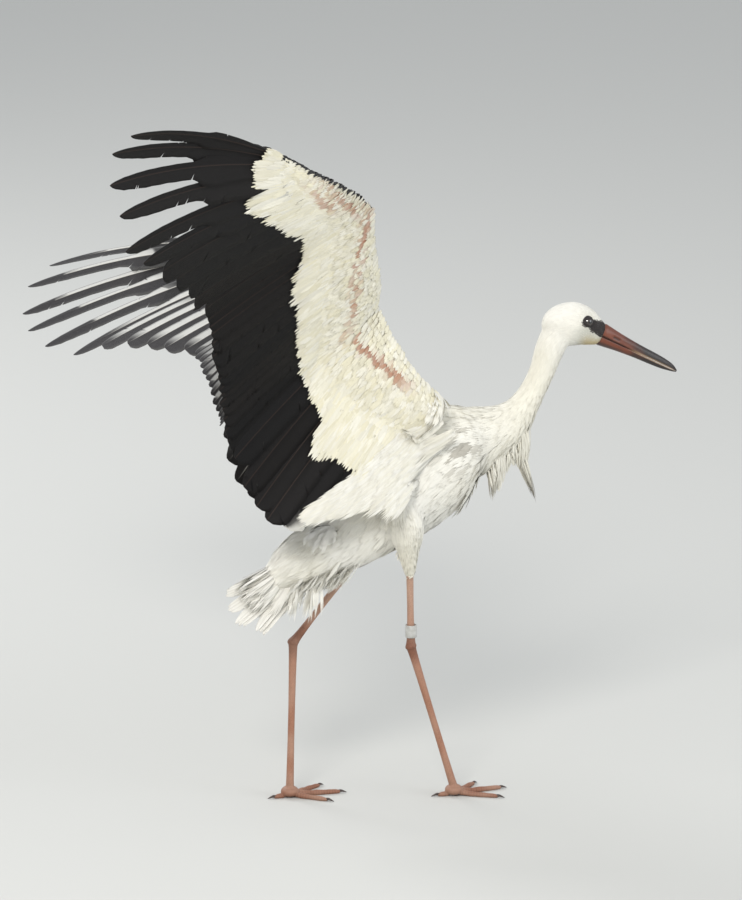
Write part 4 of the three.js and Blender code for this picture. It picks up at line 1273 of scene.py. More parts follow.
def feather_mesh(name, middle, out, face, lead, trail, tint_of, slot, replaced, tilt=1.5):
    """Closed feathers: middle, out (to the leading side) and face have a row of points for each feather.

    lead and trail are the vane's widths, tint_of(row share, column, upper) its colour."""
    n, rows = middle.shape[:2]
    sides = 2 * len(COLUMNS)
    wide = np.where(COLUMNS > 0, lead[..., None], trail[..., None])
    near_shaft = np.sign(COLUMNS) * 1.1 / np.maximum(wide, 1.2)
    c = np.where(np.abs(COLUMNS) == BY_SHAFT, near_shaft, np.broadcast_to(COLUMNS, wide.shape))
    across = c * wide
    share = np.linspace(0, 1, rows)[None, :, None] + 0 * across
    slope = tilt * np.clip(across / 20, -1.0, 1.0) * smooth(0.0, 0.15, share)
    camber = -0.4 * (np.abs(across) / 20) ** 1.5
    ridge = np.where(on_shaft(c), mix(*SHAFT_RIDGE, share), 0.0)
    half = mix(*VANE_HALF, np.abs(np.clip(c, -1, 1)))
    slant = 0.75 * np.abs(across) * smooth(0, 0.1, share) * mix(1, 0.4, smooth(0.8, 1, share))
    onward = unit(np.gradient(middle, axis=1))
    flat = middle[:, :, None] + out[:, :, None] * across[..., None] + onward[:, :, None] * slant[..., None]
    upper = flat + face[:, :, None] * (slope + camber + half + ridge)[..., None]
    lower = flat + face[:, :, None] * (slope + camber - half - 1.2 * ridge)[..., None]
    quads, ends = tube_faces(rows, sides), end_faces(rows, sides)
    first = (np.arange(n) * rows * sides)[:, None, None]
    faces = join_faces((first + quads[None]).reshape(-1, 4), (first + ends[None]).reshape(-1, sides))
    number = np.arange(n)[:, None, None]
    reach = np.linalg.norm(middle - middle[:, :1], axis=-1)[..., None]
    vane = np.stack(np.broadcast_arrays(across, reach, number), -1)
    spread = (COLUMNS + 1) / 4
    u = (number + np.append(spread, 0.5 + spread) * 0.92 + 0.04) / n
    v = 0.01 + 0.98 * share[..., :1]
    uv = np.stack(np.broadcast_arrays(u, v), -1).reshape(-1, 2)[faces[0]]
    # The strip of faces along the leading edge would cross its feather's whole patch.
    seam = np.tile(np.repeat(quads[:, 0] % sides == sides - 1, 4), n)
    seam = np.append(seam, np.zeros(len(uv) - len(seam), bool))
    feather = np.floor(uv[:, 0] * n)
    seam &= uv[:, 0] * n - feather < 0.5
    uv[seam, 0] = (feather[seam] + 0.97) / n
    material = FLIGHT_PLUMAGE if slot == "black_plumage" else SOFT_PLUMAGE
    tint = both_faces(tint_of(share, c, True), tint_of(share, c, False))
    piece(name, both_faces(upper, lower), faces, [material], replaced, uv=uv, tint=tint,
          vane=both_faces(vane, vane))


def remex_tint(where, shade, share, c, upper):
    """Flight feathers: black, with silvery outer webs above, and white inner tertials under the wing."""
    spot = where[:, None, None] + 0 * c
    base = mix(BLACK, BROWN_BLACK, shade[:, None, None, None])
    hand = smooth(1.9, 2.1, spot)
    if not upper:
        base = painted(base, SHAFT_DARK, 0.8 * on_shaft(c))
        end = smooth(0.44, 0.38, spot + 0.08 * np.minimum(c, 0)) * smooth(0.66, 0.76, share)
        return painted(base, WHITE * 0.9, np.maximum(smooth(0.3, 0.22, spot), end))
    arm = smooth(0.7, 1.2, spot) * (1 - hand)
    tint = painted(base, GREY, (0.6 * hand + 0.3 * arm) * smooth(0.1, 0.4, share))
    web = smooth(-0.01, 0.02, c) * smooth(1.05, 0.85, c)
    far = mix(0.95, 0.78, smooth(2.4, 2.6, spot))
    bright = web * smooth(far, far - 0.12, share) * smooth(0.2, 0.34, share)
    tint = painted(tint, SILVER, bright * (0.95 * hand + 0.5 * arm))
    tint = painted(tint, SILVER, 0.15 * smooth(0.8, 1.0, np.abs(c)) * (hand + arm))
    quill = on_shaft(c) * (0.35 + 0.65 * hand) * smooth(far + 0.04, far - 0.1, share)
    return painted(tint, SHAFT_WHITE, quill)


def remiges(plan):
    """Primaries, secondaries and tertials of one wing, each row a piece of its own."""
    finger_places, finger_halves = np.array(FINGERS[::-1]).T
    where = np.concatenate([spaced(0.04, 1, TERTIALS), spaced(1, 2, SECONDARIES),
                            spaced(2, FINGERS_FROM, INNER_PRIMARIES), finger_places])
    narrow = np.zeros((len(where), 1))
    narrow[-len(FINGERS):, 0] = finger_halves
    length = plan.length(where) * mix(0.9, 1, smooth(0.2, 0.5, where))
    length = length + random.uniform(-4, 2, len(where)) * (where < 2.4)
    shares, lead_cut, trail_cut = row_shares(length)
    distance = mix(8.0, length[:, None], shares)
    spots = where[:, None] + 0 * distance
    middle = plan.point(spots, distance)
    ahead, behind = np.minimum(spots + 0.03, 3), np.maximum(spots - 0.03, 0)
    step = plan.point(ahead, distance) - plan.point(behind, distance)
    tangent = unit(plan.point(spots, distance + 1) - plan.point(spots, distance - 1))
    out = square_to(step, tangent)
    face = np.cross(tangent, out)
    face = unit(face * np.sign((face * plan.face(spots)).sum(-1, keepdims=True)))
    # How far it is to the next feather on the leading and on the trailing side.
    gaps = []
    order = np.arange(len(where))
    for way in (1, -1):
        beside = order + way
        beside = np.where((beside < 0) | (beside == len(order)), order - way, beside)
        near = plan.point(where[beside][:, None] + 0 * distance, distance)
        gaps.append(np.abs(((near - middle) * out).sum(-1)))
    lead = np.clip(0.62 * gaps[0], 3.5, 15)
    trail = np.clip(1.3 * gaps[1], 8, 30)
    # The outer primaries are narrow from their notch on, like fingers.
    start = EMARGINATION + 0.06 * (3 - spots)
    finger = smooth(start - 0.05, start + 0.05, shares) * (narrow > 0)
    slim = np.interp(np.clip((shares - start) / (1 - start), 0, 1), [0, 0.6, 0.85, 0.96, 1],
                     [1, 0.94, 0.68, 0.36, 0.05])
    lead = mix(lead, narrow * 0.6 * slim, finger)
    trail = mix(trail, narrow * 1.4 * slim, finger)
    tip = np.where(narrow > 0, 1, rounded(shares, np.where(where < 1, 0.8, 0.88)[:, None]))
    ripple = 1 + 0.02 * np.sin(shares * 90 + where[:, None] * 400)
    body = tip * mix(0.25, 1, smooth(0, 0.22, shares)) * ripple
    lead, trail = lead * body * lead_cut, trail * body * trail_cut
    shade = random.uniform(0, 1, len(where))
    first = 0
    for name, count, nodes in (
            ("tertial", TERTIALS, ["tertials"]), ("secondary", SECONDARIES, ["secondaries"]),
            ("primary", INNER_PRIMARIES + len(FINGERS),
             ["primaries_inner", "primaries_outer"] + [f"finger_{k + 1}" for k in range(len(FINGERS))])):
        rows = slice(first, first + count)
        shapes = (values[rows] for values in (middle, out, face, lead, trail))
        feather_mesh(f"{name}_quills_{plan.name}", *shapes, partial(remex_tint, where[rows], shade[rows]),
                     "black_plumage", [f"{node}_{plan.name}" for node in nodes])
        first += count


def tail_point(turn, reach, lift):
    """Place on the tail's fan: turn in degrees from its middle, reach from its root."""
    a = np.radians(turn)
    flat = np.stack([-reach * np.cos(a), reach * np.sin(a), lift + 0 * reach], -1)
    c, s = math.cos(math.radians(TAIL_ROLL)), math.sin(math.radians(TAIL_ROLL))
    about_x = np.array([[1, 0, 0], [0, c, -s], [0, s, c]])
    c, s = math.cos(math.radians(TAIL_PITCH)), math.sin(math.radians(TAIL_PITCH))
    about_y = np.array([[c, 0, s], [0, 1, 0], [-s, 0, c]])
    return flat @ (about_y @ about_x).T + TAIL_ROOT


def tail():
    """Tail feathers, wet and hanging together in threes."""
    n = TAIL_FEATHERS
    turn = spaced(-TAIL_HALF_FAN, TAIL_HALF_FAN, n)
    bunch = np.arange(n) // 3
    length = TAIL_LENGTH * (1 - 0.05 * (turn / TAIL_HALF_FAN) ** 2)
    length = length - np.array([6, 0, 4, 8])[bunch] + random.uniform(-6, 0, n)
    middle_of_bunch = 1.15 * spaced(-TAIL_HALF_FAN, TAIL_HALF_FAN, n // 3)[bunch]
    shares, lead_cut, trail_cut = row_shares(length)
    reach = mix(12.0, length[:, None], shares)
    outer = np.abs(turn / TAIL_HALF_FAN)[:, None]
    lift = -TAIL_DROOP * outer ** 2 + 1.4 * (1 - outer) + 0 * reach
    turns = turn[:, None] + ((middle_of_bunch - turn) * 0.45)[:, None] * shares ** 2
    middle = tail_point(turns, reach, lift)
    tangent = unit(tail_point(turns, reach + 1, lift) - middle)
    aside = np.where(turn > 0, 1.0, -1.0)[:, None, None]
    out = square_to((tail_point(turns + 1, reach, lift) - middle) * aside, tangent)
    face = unit(np.cross(tangent, out))
    face = face * np.sign(face[..., 2:])
    body = rounded(shares, 0.74) * mix(0.4, 1, smooth(0, 0.25, shares))
    body = body * mix(1, 0.7, smooth(0.45, 0.9, shares))
    lead, trail = 6.4 * body * lead_cut, 11.5 * body * trail_cut

    def tint_of(share, c, upper):
        # Painted shade: greyer towards the root, under the coverts, and a little darker on the lower face.
        tint = painted(SHADE, WHITE, smooth(0.1, 0.6, share)) * (0.95 if upper else 0.92)
        return painted(tint, SHAFT_WHITE * 0.85, on_shaft(c))

    feather_mesh("tail_quills", middle, out, face, lead, trail, tint_of, "white_plumage", ["tail_feathers"],
                 tilt=1.0)


def tail_strands():
    """Long soft coverts that hide the bases of the tail feathers, above and below, and close the rump."""
    coat = Coat()
    t = np.linspace(0, 1, STATIONS)
    up = unit(tail_point(0.0, 50.0, 10.0) - tail_point(0.0, 50.0, 0.0))
    for above, count in ((1, 200), (-1, 210)):
        turn = random.uniform(-1, 1, (count, 1)) * (TAIL_HALF_FAN - 2)
        start = random.uniform(20, 78, (count, 1))
        length = random.uniform(46, 78, (count, 1)) * mix(1.0, 0.8, np.abs(turn) / TAIL_HALF_FAN)
        lift = above * mix(11.0, 2.4, smooth(0, 1, t)) - TAIL_DROOP * (turn / TAIL_HALF_FAN) ** 2
        lift = lift + random.uniform(-0.6, 0.6, (count, 1)) + above * random.uniform(0, 2.2, (count, 1)) * t
        turns = turn + random.normal(0, 2.0, (count, 1)) * t
        path = tail_point(turns, start + length * t, lift)
        coat.lay(path, up * above, RAGGED, WHITE * random.uniform(0.9, 1.0, (count, 1)), width=4.0)
    at = random.choice(np.flatnonzero(skin.on("coverts") & (skin.facing @ TAIL_WAY > 0.5)), 560)
    root = skin.middles[at] + random.uniform(-1, 1, (len(at), 3))
    normal = skin.normal(at)
    way = unit(TAIL_WAY + 0.16 * normal + random.normal(0, 0.07, (len(at), 3)))
    length = random.uniform(34, 66, (len(at), 1, 1))
    path = (root - 2.0 * normal)[:, None] + way[:, None] * length * t[:, None]
    tint = WHITE * random.uniform(0.9, 1.0, (len(at), 1))
    coat.lay(path, normal[:, None] + [0, 0.2, 0.3], FINE, tint, width=3.8, faces=at)
    coat.finish("tail_strands")


# ---------------------------------------------------------------------------
# Plumes of the breast, and fluff of the vent
# ---------------------------------------------------------------------------


def hanging_plumes():
    """Long thin feathers that hang from the breast in wet bunches, dark at their tips."""
    coat = Coat()
    t = np.linspace(0, 1, STATIONS)[:, None]
    # Where each bunch starts and ends, its radius, number of feathers, and how dark its tips are.
    bunches = [((216, -8, 520), (247, -8, 431), 6, 50, 1.0), ((176, -22, 500), (168, -26, 446), 6, 36, 0.5)]
    for share in np.linspace(0, 1, 9):
        root = mix(np.array([168, -24, 500.0]), np.array([222, -8, 540.0]), share)
        drop = 34 + 14 * math.sin(7 * share + 1) + 14 * share
        bunches.append((root, root + np.array([0.12, 0.0, -1.0]) * drop, 11, 34, 0.12))
    for start, end, radius, count, dark in bunches:
        start, end = np.array(start, float), np.array(end, float)
        line = unit(end - start)
        spread = random.normal(0, 0.45, (count, 2)) * radius
        root = start + unit(np.cross(line, LEFT)) * spread[:, :1] + LEFT * spread[:, 1:]
        faces, root = skin.nearest(root - line * random.uniform(-20, 20, (count, 1)))
        reach = random.uniform(0.35, 1.0, (count, 1)) ** 0.8
        reach[0] = 1.0
        to = mix(start, end, reach) + (root - start) * mix(0.6, 0.12, reach) * (1, 1, 0.2)
        to = to + random.normal(0, 1, (count, 3)) * mix(3.0, 0.8, reach)
        normal = skin.normal(faces)
        bow = np.sin(np.pi * t) * (random.normal(0, 1.2, (count, 1, 3)) + 2.0 * normal[:, None])
        path = mix((root - normal)[:, None], to[:, None], t) + bow
        tint = body_tint(root) * random.uniform(0.9, 1.02, (count, 1))
        tip = mix(tint, SOIL * 0.45, dark * smooth(0.6, 0.95, reach))
        coat.lay(path, normal[:, None] - 0.5 * LEFT, FINE, tint, width=1.5, tip=tip, faces=faces)
    coat.finish("breast_plumes")


def puff(coat):
    """The curled puff over the tail's root: feathers laid round a stretched dome, loose at their tips."""
    count, radius, centre = 150, 19.0, np.array([-105, -36, 414.0])
    t = np.linspace(0, 1, STATIONS)
    outward = unit(np.array([-0.1, -0.5, 0.85]))
    onward = square_to(unit(np.array([-0.85, -0.3, -0.4])), outward)
    aside = np.radians(random.uniform(-62, 62, (count, 1)))[..., None]
    swing = random.uniform(-75, 20, (count, 1)) + random.uniform(55, 90, (count, 1)) * t
    swing = np.radians(swing)[..., None]
    radial = (onward * np.sin(swing) + outward * np.cos(swing)) * np.cos(aside)
    radial = radial + np.cross(outward, onward) * np.sin(aside)
    path = radial * (radius + random.uniform(-4, 7, (count, 1)) * t)[..., None]
    path = centre + path + onward * 0.45 * (path @ onward)[..., None]
    across = unit(np.cross(radial, np.gradient(path, axis=1)))
    faces, _ = skin.nearest(path[:, 0])
    tint = WHITE * random.uniform(0.95, 1.0, (count, 1))
    width, lift = np.full(count, 3.0), np.zeros((count, STATIONS))
    # The roots are painted a little darker, as shade.
    coat.add(path, radial, across, width, lift, RAGGED, tint * 0.97, tint, skin.uv[faces].mean(1))


def vent_fluff():
    """Loose down at the tail's root: a curled puff above, and wisps that hang under it."""
    coat = Coat()
    t = np.linspace(0, 1, STATIONS)[:, None]
    # Middle, direction, length, number of feathers and spread of each clump.
    for centre, way, length, count, spread in (
            ((-100, -30, 345), (-0.85, -0.1, -0.6), 46, 60, 16),
            ((-66, -34, 350), (-0.75, -0.15, -0.75), 44, 60, 15),
            ((-104, 22, 345), (-0.85, 0.2, -0.6), 46, 50, 16),
            ((-70, 30, 348), (-0.75, 0.15, -0.7), 40, 50, 15),
            ((-112, -28, 348), (-0.3, -0.1, -0.95), 70, 36, 5),
            ((-134, -20, 346), (-0.45, -0.1, -0.9), 60, 30, 5)):
        faces, root = skin.nearest(centre + random.normal(0, 1, (count, 3)) * spread * [1, 0.7, 0.7])
        normal = skin.normal(faces)
        way = unit(np.array(way) + 0.12 * random.normal(0, 1, (count, 3)) + 0.1 * normal)
        size = length * random.uniform(0.55, 1.0, (count, 1))
        path = (root - normal)[:, None] + (way * size)[:, None] * t + 2 * normal[:, None] * np.sin(np.pi * t)
        tint = mix(WHITE, body_tint(root), 0.5) * random.uniform(0.97, 1.03, (count, 1))
        coat.lay(path, normal[:, None], RAGGED, tint, width=2.6, faces=faces)
    puff(coat)
    coat.finish("vent_fluff")


# ---------------------------------------------------------------------------
# The skin itself, with legs, feet and eyelids
# ---------------------------------------------------------------------------


LEG_RADIUS, FOOT_HEIGHT = 5.6, 16
SCALE_SIZE, SCUTE_LENGTH = 3.9, 4.2        # of the six-sided scales, and of the cross scales on the toes
SCALE_RAISED, SCALE_SUNK = 0.22, 0.12      # height of a scale over its joins, and how deep those lie


def hex_scales(x, y, size):
    """0 at the joins of a pavement of six-sided scales, 1 on them."""
    wide, high = size, size * 1.5
    near = []
    for ox, oy in ((0, 0), (0.5, 0.5)):
        dx = x - (np.round(x / wide - ox) + ox) * wide
        dy = y - (np.round(y / high - oy) + oy) * high
        near.append(np.hypot(dx, dy / 1.25))
    return smooth(0.02, 0.16, np.abs(near[0] - near[1]) / size)


def leg_skin(name):
    """Points, quads, colours, vanes and unwrap of one bare leg and foot, its scales raised."""
    leg = LEGS[name]
    shell = leg_shell(name)
    points, quads = shell.union(LEG_VOXEL, rounds=3)
    marks = shell.marks_at(points)
    normals = vertex_normals(points, quads)
    around = marks[:, 2] * 2 * math.pi * LEG_RADIUS
    reach = np.hypot(points[:, 0] - leg["foot"][0], points[:, 1] - leg["foot"][1])
    scutes = smooth(0.12, 0.3, np.abs((reach / SCUTE_LENGTH) % 1 - 0.5) * 2)
    scale = np.where(points[:, 2] < FOOT_HEIGHT, scutes, hex_scales(around, points[:, 2], SCALE_SIZE))
    raised = SCALE_RAISED * scale * smooth(0.6, 2.0, points[:, 2])
    points = points + normals * (raised - SCALE_SUNK)[:, None]
    points[:, 2] = np.maximum(points[:, 2], 0.02)
    height = points[:, 2]
    tint = painted(LEG, LEG_DARK, 0.75 * smooth(34, 8, np.abs(height - leg["ankle"][2])))
    tint = painted(tint, SKIN_PINK, 0.55 * smooth(250, 330, height))
    tint = painted(tint, LEG_DARK, 0.5 * smooth(40, 5, height))
    tint = tint * mix(0.7, 1.0, scale)[:, None]
    tint = painted(tint, SKIN_PINK, 0.3 * wave_noise(points, 26, 12))
    vane = np.column_stack([around, height, np.zeros(len(points))])
    return points, quads, tint, vane, atlas(marks, quads)


LID_RINGS, LID_SIDES = 9, 40       # the rings of the open part of the lids
LID_OUTSIDE, LID_INSIDE = (10.6, 9.2), (6.5, 5.5)      # half-length and half-height of their two edges


def eye_axis(side):
    """The way an eye looks: sideways, and a little forward and up."""
    return unit(np.array([0.2, side, 0.08]))


def eyelids(side):
    """Bare rim round one eye: from the skin, up over a soft roll, and down onto the eyeball.

    It gives the same things as leg_skin."""
    centre, axis = EYE_CENTRE * (1, side, 1), eye_axis(side)
    fore = square_to(np.array([0.94, 0, -0.34]), axis)
    up = np.cross(axis, fore) * side
    up = up if up[2] > 0 else -up
    turn = 2 * math.pi * np.arange(LID_SIDES) / LID_SIDES
    corner = np.abs(np.cos(turn)) ** 6
    rings = []
    for share in np.linspace(0, 1, LID_RINGS):
        wide = mix(LID_OUTSIDE[0], LID_INSIDE[0], share) + (0.8 + 0.8 * share) * corner
        high = mix(LID_OUTSIDE[1], LID_INSIDE[1], share)
        spot = fore * (wide * np.cos(turn))[:, None] + up * (high * np.sin(turn))[:, None]
        flat = np.linalg.norm(spot, axis=-1)
        on_ball = np.sqrt(np.maximum((EYE_RADIUS + 0.45) ** 2 - flat ** 2, 0))
        _, ground = skin.nearest(centre + axis * 5 + spot)
        on_skin = (ground - centre) @ axis
        height = mix(on_skin - 0.4, np.maximum(on_ball, on_skin), smooth(0.0, 0.75, share))
        roll = 0.75 * math.sin(math.pi * min(share * 1.1, 1)) * (0.6 + 0.4 * np.sin(turn * 2 + 0.4))
        wrinkle = 0.16 * np.sin(share * 20) * math.sin(math.pi * share)
        rings.append(centre + spot + axis * (height + roll + wrinkle)[:, None])
    # Two more rings behind it close the rim.
    rings.append(centre + (rings[-1] - centre) * 0.86)
    rings.append(centre + (rings[0] - centre) * 0.8)
    points = np.concatenate(rings)
    quads = tube_faces(len(rings), LID_SIDES, closed=True)[:, ::-side]
    tint = np.tile(BARE_FACE * 1.1, (len(points), 1))
    return points, quads, tint, np.zeros_like(points), eyelid_unwrap(quads, side)


def eyelid_unwrap(quads, side):
    """OFBake corners of one eye's lids: a small disc above the strips of the skin."""
    ring, turn = quads // LID_SIDES, 2 * math.pi * (quads % LID_SIDES) / LID_SIDES
    hidden = (ring.max(1) == LID_RINGS + 1) & (ring.min(1) == 0)     # the faces that close the rim underneath
    reach = 0.008 * (1 - 0.08 * np.where(hidden[:, None], LID_RINGS + 1, ring))
    centre = np.array([0.75 if side > 0 else 0.25, 0.99])
    return centre + reach[..., None] * np.stack([np.cos(turn), np.sin(turn)], -1)


def whole_skin():
    """One object: the feathered skin, both bare legs with their feet, and the eyelids."""
    # The skin takes the coat's colour, a little darker: painted shade seen in the gaps between feathers.
    tint = body_tint(skin.points) * 0.9
    for name, plan in PLANS.items():
        mine = (skin.marks[:, 0] == LIMBS.index(f"arm_{name}")) & (skin.marks[:, 1] > 0.2)
        where = np.clip(skin.marks[mine, 1], 0, 3)
        from_bone = skin.points[mine] - plan.bone(where)
        distance = (from_bone * plan.direction(where)).sum(-1)
        above = (from_bone * plan.face(where)).sum(-1) > 0
        upper, under = (covert_tint(where, distance, side) for side in (1, -1))
        tint[mine] = np.where(above[:, None], upper, under)
    head = (skin.marks[:, 0] == LIMBS.index("head")) | (skin.points[:, 0] > 300)
    tint = painted(tint, BARE_FACE, bare_face_and_shade(skin.points) * head)
    # Yellow under the chin: partly bare skin, partly painted reflection from below.
    tint = painted(tint, CHIN_SKIN_AND_REFLECTION, chin_and_reflection_share(skin.points, skin.normals))
    parts = [(skin.points, skin.quads, tint, np.zeros_like(skin.points), skin.uv)]
    parts += [leg_skin(name) for name in LEGS]
    parts += [eyelids(side) for side in (-1, 1)]
    points, quads, tints, vanes, uvs = zip(*parts)
    first = np.cumsum([0] + [len(p) for p in points])
    faces = join_faces(*(q + start for q, start in zip(quads, first)))
    is_leg = [np.full(len(q), k in (1, 2)) for k, q in enumerate(quads)]
    flesh = ["trunk", "tail_coverts", "head"] + [f"neck_{part}" for part in ("lower", "middle", "upper")]
    for name in LEGS:
        flesh += [f"{part}_{name}" for part in ("upper_arm", "forearm", "hand", "thigh", "shin", "tarsus")]
        flesh += [f"toe_{toe[0]}_{name}" for toe in TOES]
    piece("skin", np.concatenate(points), faces, [SKIN, LEG_SKIN], flesh,
          tint=np.concatenate(tints), vane=np.concatenate(vanes), face_material=np.concatenate(is_leg),
          uv=np.concatenate([uv.reshape(-1, 2) for uv in uvs]))


# ---------------------------------------------------------------------------
# Bill, eyes, claws and ring
# ---------------------------------------------------------------------------

BILL_TAPER = [
    [0, 1], [0.1, 0.9], [0.2, 0.8], [0.35, 0.69], [0.5, 0.6], [0.65, 0.54], [0.8, 0.46], [0.9, 0.34],
    [0.96, 0.22], [1, 0.08],
]
BILL_RINGS, BILL_WALL_POINTS, BILL_FLAT_POINTS = 90, 27, 9
BILL_ROOT = 0.045                  # how far the bill goes on under the feathers, as a share of its length


def bill(upper):
    """One half of the bill: a ridge, swelling sides, a sharp edge at the gape, and the nostril above."""
    name, way = ("upper", 1) if upper else ("lower", -1)
    share = np.linspace(-BILL_ROOT, 1, BILL_RINGS)[:, None]
    size = along(BILL_TAPER, np.clip(share, 0, 1)) * np.where(share < 0, 1 + share * 2, 1)
    slope = math.radians(BILL_SLOPE)
    line = np.array([math.cos(slope), 0, math.sin(slope)])
    rise = np.cross(line, LEFT)
    axis = BILL_BASE + line * (share * BILL_LENGTH) - rise * GAPE_BELOW_AXIS
    depth = BILL_HALF_HEIGHT * size + way * GAPE_BELOW_AXIS * np.minimum(1, size * 3)
    width = BILL_HALF_WIDTH * size * (1.0 if upper else 0.93)
    # Section: y across and z away from the gape, over the wall and back along the flat side.
    turn = np.linspace(0, math.pi, BILL_WALL_POINTS)
    c, s = np.cos(turn), np.sin(turn)
    flat_y = np.linspace(-1, 1, BILL_FLAT_POINTS + 2)[1:-1] * 0.985
    y = np.append(np.sign(c) * np.abs(c) ** (0.9 if upper else 0.8), flat_y)
    z = np.append(s ** (0.8 if upper else 0.72), 0.05 + 0.1 * (1 - flat_y ** 2))
    n = len(y)
    gap = 0.25 + 0.9 * smooth(0.35, 0.7, share) * smooth(1.0, 0.9, share)
    lift = way * (gap * 0.4 + depth * z)
    groove = np.exp(-((z - 0.34) / 0.1) ** 2) * smooth(0.02, 0.1, share) * smooth(0.62, 0.4, share)
    slit = np.exp(-((z - 0.36) / 0.085) ** 2) * smooth(0.1, 0.115, share) * smooth(0.215, 0.18, share)
    if not upper:
        groove, slit = groove * 0.5, slit * 0
    aside = width * y * (1 - 0.05 * groove - 0.16 * slit)
    points = axis[:, None] + rise * lift[..., None] + LEFT * aside[..., None]
    blotch = 0.12 * (wave_noise(points, 12, 20) - 0.5)
    tint = painted(BILL_RED, BILL_DARK, smooth(0.18, 0.62, share + blotch + (0.10 if upper else 0.06) * z))
    under = 0.75 * smooth(0.4, 0.75, z) * smooth(0.45, 0.1, share) * (0.25 if upper else 1.0)
    tint = painted(tint, BILL_DARK, under)
    # Painted highlight: a pale streak along the gape towards the tip.
    edge = smooth(0.2, 0.05, z) * smooth(0.3, 0.5, share) * smooth(1.0, 0.93, share)
    tint = painted(tint, BILL_EDGE_HIGHLIGHT, 0.9 * edge)
    # Painted shade: dark in the nostril's slit and along the crease of the gape near the base.
    seam = smooth(0.16, 0.04, z) * smooth(0.4, 0.25, share)
    tint = painted(tint, BILL_DARK, np.clip(0.8 * seam + slit, 0, 1))
    column = np.arange(n)
    vane = np.stack(np.broadcast_arrays(column * 1.5, share * BILL_LENGTH, 0.0), -1)
    v = 0.02 + 0.96 * (share + BILL_ROOT) / (1 + BILL_ROOT)
    uv = np.stack(np.broadcast_arrays(column / n * 0.96 + 0.01, v), -1)
    quads, ends = (faces[:, ::-way] for faces in (tube_faces(BILL_RINGS, n), end_faces(BILL_RINGS, n)))
    piece(f"bill_{name}_horn", points, join_faces(quads, ends), [BILL_HORN], [f"bill_{name}"],
          tint=tint, vane=vane, uv=uv)


def eye(name, side):
    """Eyeball with its bulging clear front, dark brown iris and round pupil."""
    axis = eye_axis(side)
    rings, sides = 40, 48
    polar = np.linspace(0.02, math.pi - 0.02, rings)[:, None, None]
    fore = unit(np.cross(axis, [0, 0, 1.0]))
    up = np.cross(fore, axis)
    turn = 2 * math.pi * np.arange(sides)[:, None] / sides
    radius = (EYE_RADIUS - 0.15) + 0.35 * smooth(0.75, 0.35, polar)
    ring = fore * np.cos(turn) + up * np.sin(turn)
    points = EYE_CENTRE * (1, side, 1) + radius * np.cos(polar) * axis + radius * np.sin(polar) * ring
    tint = mix(PUPIL, IRIS, smooth(0.36, 0.42, polar))
    tint = mix(tint, PUPIL, smooth(0.62, 0.7, polar))
    tint = mix(tint, EYE_WHITE, 0.4 * smooth(0.85, 1.0, polar))
    tint = np.broadcast_to(tint, points.shape)
    way = -1 if np.cross(fore, up) @ axis > 0 else 1
    faces = join_faces(tube_faces(rings, sides)[:, ::way], end_faces(rings, sides)[:, ::way])
    u = np.arange(sides) / sides * 0.96 + 0.02
    uv = np.stack(np.broadcast_arrays(u, polar[:, 0] / 3.3 + 0.02), -1)
    piece(f"eyeball_{name}", points, faces, [EYE], [f"eye_{name}"], tint=tint, uv=uv)


def claws(name):
    """The four claws of one foot, curved and blunt, grooved beneath."""
    leg = LEGS[name]
    rings, sides = 14, 12
    share = np.linspace(-0.18, 1, rings)
    angle = 2 * math.pi * np.arange(sides) / sides
    rise = np.sin(angle)
    section = np.stack([0 * angle, np.cos(angle) * 0.85, rise * np.where(rise < 0, 0.75, 1)], -1)
    thick = np.interp(share, [-0.2, 0.1, 0.6, 1], [2.3, 2.5, 1.5, 0.45])
    u, v = np.broadcast_arrays(angle * 2.4, share[:, None] * CLAW_LENGTH)
    points, faces, vanes, uvs = [], [], [], []
    for k, (_, length, turn, radius, _) in enumerate(TOES):
        x = length + 0.4 + share * CLAW_LENGTH
        z = np.interp(share, [-0.2, 0.3, 0.75, 1], [radius * 0.74, 3.5, 2.0, 1.0])
        grid = np.stack([x, 0 * x, z], -1)[:, None] + section * thick[:, None, None]
        grid[..., 2] = np.maximum(grid[..., 2], 0.15)
        points.append(grid @ toe_turn(leg, turn) + [leg["foot"][0], leg["foot"][1], 0.0])
        first = k * rings * sides
        faces += [first + tube_faces(rings, sides)[:, ::-1], first + end_faces(rings, sides)[:, ::-1]]
        vanes.append(np.stack([u, v, 0 * u + k], -1))
        uvs.append(np.stack([(k + 0.05 + 0.85 * u / 15.1) / 4, 0.1 + 0.8 * (v + 2) / 13], -1))
    tint = CLAW * random.uniform(0.8, 1.2, (len(TOES) * rings * sides, 1))
    piece(f"claws_{name}", points, join_faces(*faces), [CLAW_HORN],
          [f"claw_{toe[0]}_{name}" for toe in TOES], tint=tint, vane=vanes, uv=uvs)


